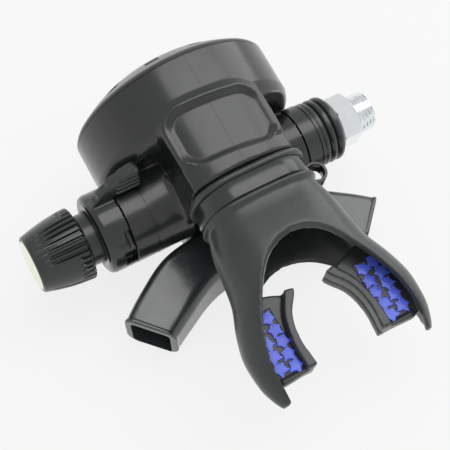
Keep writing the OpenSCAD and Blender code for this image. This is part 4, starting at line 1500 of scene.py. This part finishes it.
    def make_body(self) -> None:
        """Builds the silicone body and lays it in place of its solid."""
        piece = self.trumpet("lip_mouthpiece", 0.0)
        Bench.work(piece, self.trumpet("bore", self.wall))
        for lip in Lip:
            Bench.work(piece, self.arch_tool(lip))
        Bench.work(piece, self.seat_tool())
        right = self.tab()
        Bench.join(piece, *right, *[Bench.mirrored(part) for part in right])
        Bench.fuse(piece, voxel=0.45, rounds=10)
        Bench.work(piece, self.pad_block("pad_tool", 0.1, 3.5))
        Bench.work(piece, Bench.flip(self.pad_block("pad_tool", 0.1, 3.5)))
        Bench.smooth(piece, degrees=40)
        Bench.move(piece, self.casing.tube_frame())
        Bench.lay(piece, "casing", "silicone", self.finishes.silicone, "mouthpiece")

    def tile(self, middle: Point2, turn: float, up: int) -> Piece:
        """Makes one raised tile.

        Args:
            middle: Its place on the pad.
            turn: Its turn, in radians.
            up: 1 on the upper face, -1 on the lower one.

        Returns:
            The tile.
        """
        size, level = self.tile_size, self.pad_half - 0.05
        outline = [(middle[0] + size * (u * math.cos(turn) - v * math.sin(turn)),
                    middle[1] + size * (u * math.sin(turn) + v * math.cos(turn)))
                   for u, v in (*self.scute, *((u, -v) for u, v in self.scute[-2:0:-1]))]
        low, high = sorted((level * up, (level + self.tile_rise) * up))
        piece = Bench.prism("tile", outline, Axis.Z, low, high)
        # only the rim of the outer face is rounded
        Bench.round_edges(piece, 0.18, 2, lambda middle, way: (
            abs(way.z) < 0.5 and abs(middle.z) > level + self.tile_rise / 2))
        return piece

    def make_pad(self, side: Side) -> None:
        """Builds one pad: a grey plate and staggered blue tiles on both faces.

        Args:
            side: The pad's side.
        """
        name = "bite_pad_" + side.name.lower()
        base = self.pad_block(name + "_base", 0.0, self.pad_half)
        Bench.round_edges(base, 0.4, 2, lambda middle, way: True)
        first = (self.inner + self.pad_in[0] + self.tile_first[0],
                 -self.far + self.pad_in[1] + self.tile_first[1])
        rows, columns = self.tile_grid
        tiles = []
        for up, row, column in product((1, -1), range(rows), range(columns)):
            # no two neighbours lie alike
            x = first[0] + self.tile_pitch[0] * column + 0.2 * math.sin(2.1 * row + column)
            y = first[1] + self.tile_pitch[1] * row + (0.9 if column else -0.2)
            turn = math.pi / 2 + 0.6 * math.sin(1.7 * row + 2.9 * column + up)
            tiles.append(self.tile((x, y), turn, up))
        tiles = Bench.join(*tiles)
        tiles.name = name + "_tiles"
        for piece, finish, *replaced in ((base, self.finishes.pad_base, name),
                                         (tiles, self.finishes.pad_tile)):
            if side is Side.LEFT:
                Bench.flip(piece)
            Bench.smooth(piece, degrees=30)
            Bench.move(piece, self.casing.tube_frame())
            Bench.lay(piece, "casing", "pad_blue", finish, *replaced)

    def make(self) -> None:
        """Builds the body and the two pads."""
        self.make_body()
        for side in Side:
            self.make_pad(side)


# ---- hose inlet ------------------------------------------------------------


@dataclass
class HoseInlet:
    """The brass barrel with its hexagon and the 9/16-18 thread on its end."""

    finishes: Finishes
    pitch: float = 25.4 / 18
    depth: float = 0.98
    crest: float = 7.144
    length: float = 7.4
    # half a groove's width as a share of the pitch, and how much of the V is cut
    groove: float = 0.42
    cut_share: float = 0.88
    runout: float = 1.2
    chamfer: float = 0.75
    hex_length: float = 8.05
    across: float = 17.0
    hex_chamfer: float = 1.7
    sides: int = 144

    def thread(self, x: float, turn: float, start: float, end: float) -> float:
        """Works out the thread's radius at a place.

        Args:
            x: Place along the tube.
            turn: Angle about it, as a share of a turn.
            start: Where the thread runs out.
            end: Where the barrel ends.

        Returns:
            The radius of a V thread with flat crests, chamfered at the end.
        """
        phase = ((x - start) / self.pitch - turn) % 1.0
        cut = self.depth * max(0.0, 1 - abs(phase - 0.5) / self.groove)
        cut = min(cut, self.depth * self.cut_share) * ease((x - start) / self.runout)
        return min(self.crest - cut, self.crest - self.chamfer + (end - x))

    def hexagon(self, x: float, turn: float, low: float, high: float) -> float:
        """Works out the hexagon's radius at a place.

        Args:
            x: Place along the tube.
            turn: Angle from one of its corners, in radians.
            low: Where the hexagon starts.
            high: Where it ends.

        Returns:
            The radius, with chamfered corners at both ends.
        """
        flat = self.across / 2
        corner = flat / math.cos(turn % (math.pi / 3) - math.pi / 6)
        return min(corner, flat + self.hex_chamfer * min(x - low, high - x))

    def ring(self, x: float, corner: float, radius: Callable[[float], float]) -> list[Vector]:
        """Draws a ring about the tube.

        Args:
            x: Place along the tube.
            corner: Angle of the ring's first point.
            radius: Takes an angle and returns the radius there.

        Returns:
            The ring's points.
        """
        angles = [math.tau * k / self.sides + corner for k in range(self.sides)]
        return [Vector((x, radius(a) * math.cos(a), radius(a) * math.sin(a))) for a in angles]

    def head(self, first: float, start: float, end: float, corner: float) -> Piece:
        """Makes the hexagon and the thread as one closed piece.

        Args:
            first: Where the head starts.
            start: Where the hexagon ends and the thread starts.
            end: Where the thread ends.
            corner: Angle of one of the hexagon's corners.

        Returns:
            The piece.
        """
        low = start - self.hex_length - 0.2
        rings = [self.ring(x, corner, lambda a: self.hexagon(x, a - corner, low, start))
                 for x in (first + (start - first) * t for t in shares(36))]
        # twelve rings to a turn of the thread
        rings += [self.ring(x, corner, lambda a: self.thread(x, -a / math.tau, start, end))
                  for x in (start + self.length * t
                            for t in shares(int(self.length / (self.pitch / 12))))]
        piece = Bench.lofted("head", rings)
        Bench.merge(piece, DOUBLE)
        Bench.close()
        return piece

    def make(self) -> None:
        """Puts a hexagon and a true thread on a copy of the barrel."""
        end = span("valve_barrel")[1].x
        start = end - self.length
        low = start - self.hex_length
        piece = Bench.from_solid("valve_barrel", "threaded_barrel")
        # place, radius and angle of the solid's points, which give its bores: a
        # narrow one to the seat, and a wider one out to the end
        spots = [(v.co.x, math.hypot(v.co.y, v.co.z), math.atan2(v.co.z, v.co.y))
                 for v in piece.data.vertices if v.co.x > low + 1]
        wide = min(radius for x, radius, _ in spots if x > end - 0.4)
        narrow = min(radius for _, radius, _ in spots)
        seat = max(x for x, radius, _ in spots if radius < narrow + 0.05)
        corner = max(spots, key=lambda spot: round(spot[1], 3))[2]
        first = low + 0.3
        Bench.work(piece, Bench.block("cut", (first, -14, -14), (end + 3, 14, 14)))
        head = self.head(first, start, end, corner)
        Bench.work(head, Bench.rod("bore", narrow, (first - 1, 0, 0), (end + 1, 0, 0)))
        Bench.work(head, Bench.rod("seal_bore", wide, (seat, 0, 0), (end + 1, 0, 0)))
        Bench.join(piece, head)
        Bench.smooth(piece, degrees=24)
        Bench.lay(piece, "casing", "chrome", self.finishes.chrome, "valve_barrel")


# ---- adjusting knob --------------------------------------------------------


@dataclass
class Knob:
    """Tapered knob: groups of long flutes between petals whose flutes are short."""

    finishes: Finishes
    flutes: int = 36
    group: int = 12
    long_ones: int = 7
    # angle of the first long flute, in degrees
    first: float = 55.0
    depth: float = 0.95
    # how far the long and the short flutes run along the knob, as a share
    reaches: Point2 = (0.95, 0.3)
    taper: float = 2.7
    bulge: float = 0.5
    longer: float = 0.7
    edge: float = 1.0
    # depth of the cap's seat, then radius and depth of the hole for the screw's head,
    # of the room at the wide end, and of the hole from there, whose depth is what it
    # leaves of the narrow end
    seat_depth: float = 1.2
    head_hole: Point2 = (3.3, 2.6)
    room: Point2 = (9.75, 5.2)
    stem_hole: Point2 = (3.1, 4.95)
    dome: float = 0.98

    def flute(self, x: float, angle: float, inner: float, length: float) -> float:
        """Works out how deep the flutes are at a place on the knob's skin.

        Args:
            x: Place along the knob.
            angle: Angle about it.
            inner: Where the wide end is.
            length: The knob's length.

        Returns:
            The depth under the plain taper.
        """
        place = ((angle - math.radians(self.first)) / math.tau % 1.0) * self.flutes
        long, short = self.reaches
        reach = length * (long if int(place) % self.group < self.long_ones else short)
        across = ease((0.3 - abs(place % 1.0 - 0.5)) / 0.2)
        return self.depth * across * ease(1.7 * (1 - (inner - x) / reach))

    def profile(self, outer: float, inner: float, narrow: float, wide: float) -> list[Point2]:
        """Draws the knob's profile without its flutes.

        Args:
            outer: Place of its narrow end along the tube.
            inner: Place of its wide end.
            narrow: Radius at the narrow end.
            wide: Radius at the wide end.

        Returns:
            Radius and place of each point, from the axis back to the axis.
        """
        edge, lip, length = self.edge, narrow - 0.9, inner - outer
        arc = [(narrow - edge + edge * math.sin(a), outer + edge - edge * math.cos(a))
               for a in (math.pi / 2 * t for t in shares(4))]
        side = [(narrow + 0.1 + (wide - narrow - 0.1) * t + self.bulge * math.sin(math.pi * t),
                 outer + 1.4 + (length - 2.2) * t) for t in shares(34)]
        (head_r, head), (room_r, room), (stem_r, stem) = self.head_hole, self.room, self.stem_hole
        return [(0.0, outer + head), (head_r, outer + head), (head_r, outer + self.seat_depth),
                (lip, outer + self.seat_depth), (lip, outer), *arc, *side,
                (wide - 0.1, inner - 0.35), (wide - 0.5, inner), (wide - 1.6, inner),
                (room_r, inner), (room_r, inner - room), (stem_r, inner - room),
                (stem_r, outer + stem), (0.0, outer + stem)]

    def make(self) -> None:
        """Builds the knob and its cap and lays them in place of their solids."""
        low, high = span("knob")
        outer, inner, wide = low.x - self.longer, high.x, high.y
        narrow = wide - self.taper
        piece = Bench.turned("grip_knob", self.profile(outer, inner, narrow, wide), Axis.X,
                             steps=360)
        for vertex in piece.data.vertices:
            x, y, z = vertex.co
            around = math.hypot(y, z)
            # the skin past the outer edge, and not the room inside
            if x > outer + 1.2 and around > max(narrow, wide - 0.8 - 0.3 * (inner - x)):
                scale = 1 - self.flute(x, math.atan2(z, y), inner, inner - outer) / around
                vertex.co.y, vertex.co.z = y * scale, z * scale
        Bench.smooth(piece, degrees=38)
        Bench.lay(piece, "adjusting_knob", "knob_plastic", self.finishes.knob, "knob")
        low, high = span("knob_insert")
        rim, flat = high.y, high.x - self.longer
        dome = [(rim * t, outer - self.dome * (1 - t * t) ** 0.8) for t in shares(24)]
        cap = Bench.turned("domed_cap", [*dome, (rim, flat), (0.0, flat)], Axis.X)
        Bench.smooth(cap, degrees=35)
        Bench.lay(cap, "adjusting_knob", "cap_plastic", self.finishes.cap, "knob_insert")


# ---- lever and clamp -------------------------------------------------------


@dataclass
class SmallMouldings:
    """The venturi lever and the mouthpiece clamp: their solids with broken edges."""

    finishes: Finishes
    edge: float = 0.22
    voxel: float = 0.26

    def make(self) -> None:
        """Builds both pieces and lays them in place of their solids."""
        lever = Bench.from_solid("venturi_lever", "venturi_ring_lever")
        Bench.fuse(lever, voxel=self.voxel, rounds=4)
        Bench.smooth(lever, degrees=45)
        Bench.lay(lever, "venturi", "lever_plastic", self.finishes.lever, "venturi_lever")
        clamp_band = Bench.from_solid("mouthpiece_clamp", "band_clamp")
        Bench.apply(clamp_band, "BEVEL", width=self.edge, segments=2, limit_method="ANGLE",
                    angle_limit=math.radians(38), harden_normals=False)
        Bench.smooth(clamp_band, degrees=35)
        Bench.lay(clamp_band, "casing", "clamp_plastic", self.finishes.clamp,
                  "mouthpiece_clamp")


# ---- studio ----------------------------------------------------------------


@dataclass
class Studio:
    """Pale floor, soft lights and the camera."""

    azimuth: float = -49.45
    elevation: float = 68.49
    roll: float = 21.67
    focal_px: float = 1098.8
    frame_px: float = 450.0
    aim_px: Point2 = (-9.90, 45.23)
    distance: float = 387.5
    sensor_mm: float = 36.0
    paper: str = "#EEF0EF"
    backdrop: str = "#F6F7F6"
    # how much of the floor is backdrop, to the lamps and to the camera
    floor_glow: Point2 = (0.42, 0.87)
    # the world's strength at the horizon and overhead, and where it changes
    sky: Point2 = (0.95, 0.8)
    sky_heights: Point2 = (0.1, 0.45)
    # what the lamps look at, in metres
    aim: tuple[float, float, float] = (0.0, 0.0, 0.03)

    def camera(self) -> None:
        """Places the camera at the viewing angle worked out for the case's frame."""
        az, el, roll = (math.radians(v) for v in (self.azimuth, self.elevation, self.roll))
        look = Vector((-math.sin(az) * math.cos(el), math.cos(az) * math.cos(el),
                       -math.sin(el)))
        right = Vector((math.cos(az), math.sin(az), 0.0))
        up = right.cross(look)
        across = right * math.cos(roll) + up * math.sin(roll)
        above = -right * math.sin(roll) + up * math.cos(roll)
        per_px = self.distance / self.focal_px
        eye = (-self.aim_px[0] * per_px * across - self.aim_px[1] * per_px * above
               - self.distance * look)
        turn = Matrix((across, above, -look)).transposed().to_4x4()
        data = bpy.data.cameras.new("camera")
        data.sensor_width = self.sensor_mm
        data.lens = self.focal_px / self.frame_px * data.sensor_width
        data.clip_start, data.clip_end = 0.01, 20.0
        camera = Bench.stood("camera", data)
        camera.matrix_world = CASE @ Matrix.Translation(eye) @ turn @ Matrix.Scale(1 / MM, 4)
        bpy.context.scene.camera = camera

    def floor(self) -> None:
        """Adds the pale floor, which keeps a faint shadow."""
        Bench.clear()
        bpy.ops.mesh.primitive_plane_add(size=4, location=(0, 0, -0.00005))
        floor = Bench.named("floor")
        Bench.settle()
        material = bpy.data.materials.new("pale_floor")
        material.use_nodes = True
        material.node_tree.nodes.clear()
        add = partial(add_node, material.node_tree)
        # 1 where a ray comes from the camera, a gloss or a glass
        path = add("ShaderNodeLightPath")
        shown = path.outputs["Is Camera Ray"]
        for name in ("Is Glossy Ray", "Is Transmission Ray"):
            shown = add("ShaderNodeMath", {0: shown, 1: path.outputs[name]},
                        operation="MAXIMUM").outputs[0]
        share = add("ShaderNodeMapRange", {"Value": shown},
                    {"To Min": self.floor_glow[0], "To Max": self.floor_glow[1]})
        paper = add("ShaderNodeBsdfDiffuse", values={"Color": linear(self.paper)})
        glow = add("ShaderNodeEmission", values={"Color": linear(self.backdrop)})
        mix = add("ShaderNodeMixShader", {0: share.outputs[0], 1: paper.outputs[0],
                                          2: glow.outputs[0]})
        add("ShaderNodeOutputMaterial", {"Surface": mix.outputs[0]})
        floor.data.materials.append(material)

    def world(self) -> None:
        """Surrounds the set with a studio: pale at the horizon, dimmer overhead."""
        world = bpy.data.worlds.new("studio")
        bpy.context.scene.world = world
        world.use_nodes = True
        tree = world.node_tree
        way = add_node(tree, "ShaderNodeTexCoord").outputs["Generated"]
        split = add_node(tree, "ShaderNodeSeparateXYZ", {0: way})
        strength = add_node(tree, "ShaderNodeMapRange", {"Value": split.outputs["Z"]}, {
            "From Min": self.sky_heights[0], "From Max": self.sky_heights[1],
            "To Min": self.sky[0], "To Max": self.sky[1]}, interpolation_type="SMOOTHSTEP")
        back = tree.nodes["Background"]
        back.inputs["Color"].default_value = linear(self.backdrop)
        tree.links.new(strength.outputs[0], back.inputs["Strength"])

    def lamp(self, name: str, place: Sequence[float], size: Point2, power: float) -> None:
        """Adds a soft oblong lamp that looks at the set.

        Args:
            name: Its name.
            place: Where it stands, in metres.
            size: Its width and depth, in metres.
            power: Its power in watts.
        """
        data = bpy.data.lights.new(name, "AREA")
        data.shape, data.energy = "RECTANGLE", power
        data.size, data.size_y = size
        lamp = Bench.stood(name, data)
        lamp.location = place
        down = (Vector(self.aim) - Vector(place)).normalized()
        side = Vector(Axis.Y.value).cross(-down).normalized()
        lamp.rotation_euler = Matrix((side, -down.cross(side), -down)).transposed().to_euler()

    def make(self) -> None:
        """Sets up the studio."""
        self.camera()
        self.floor()
        self.world()
        self.lamp("soft_top", (0.33, -0.03, 1.05), (1.3, 0.64), 6.3)
        self.lamp("soft_side", (1.0, 0.22, 0.5), (0.6, 0.55), 1.9)
        bpy.context.scene.view_settings.view_transform = "Standard"


def main() -> None:
    """Builds the studio, the finishes and each sub-assembly in order."""
    logging.basicConfig(level=logging.INFO, format="%(name)s: %(message)s")
    Studio().make()
    finishes = Finishes()
    finishes.dress_solids()
    casing = Casing(finishes)
    casing.make()
    ExhaustTee(finishes).make()
    Mouthpiece(finishes, casing).make()
    HoseInlet(finishes).make()
    Knob(finishes).make()
    SmallMouldings(finishes).make()


if __name__ == "__main__":
    main()
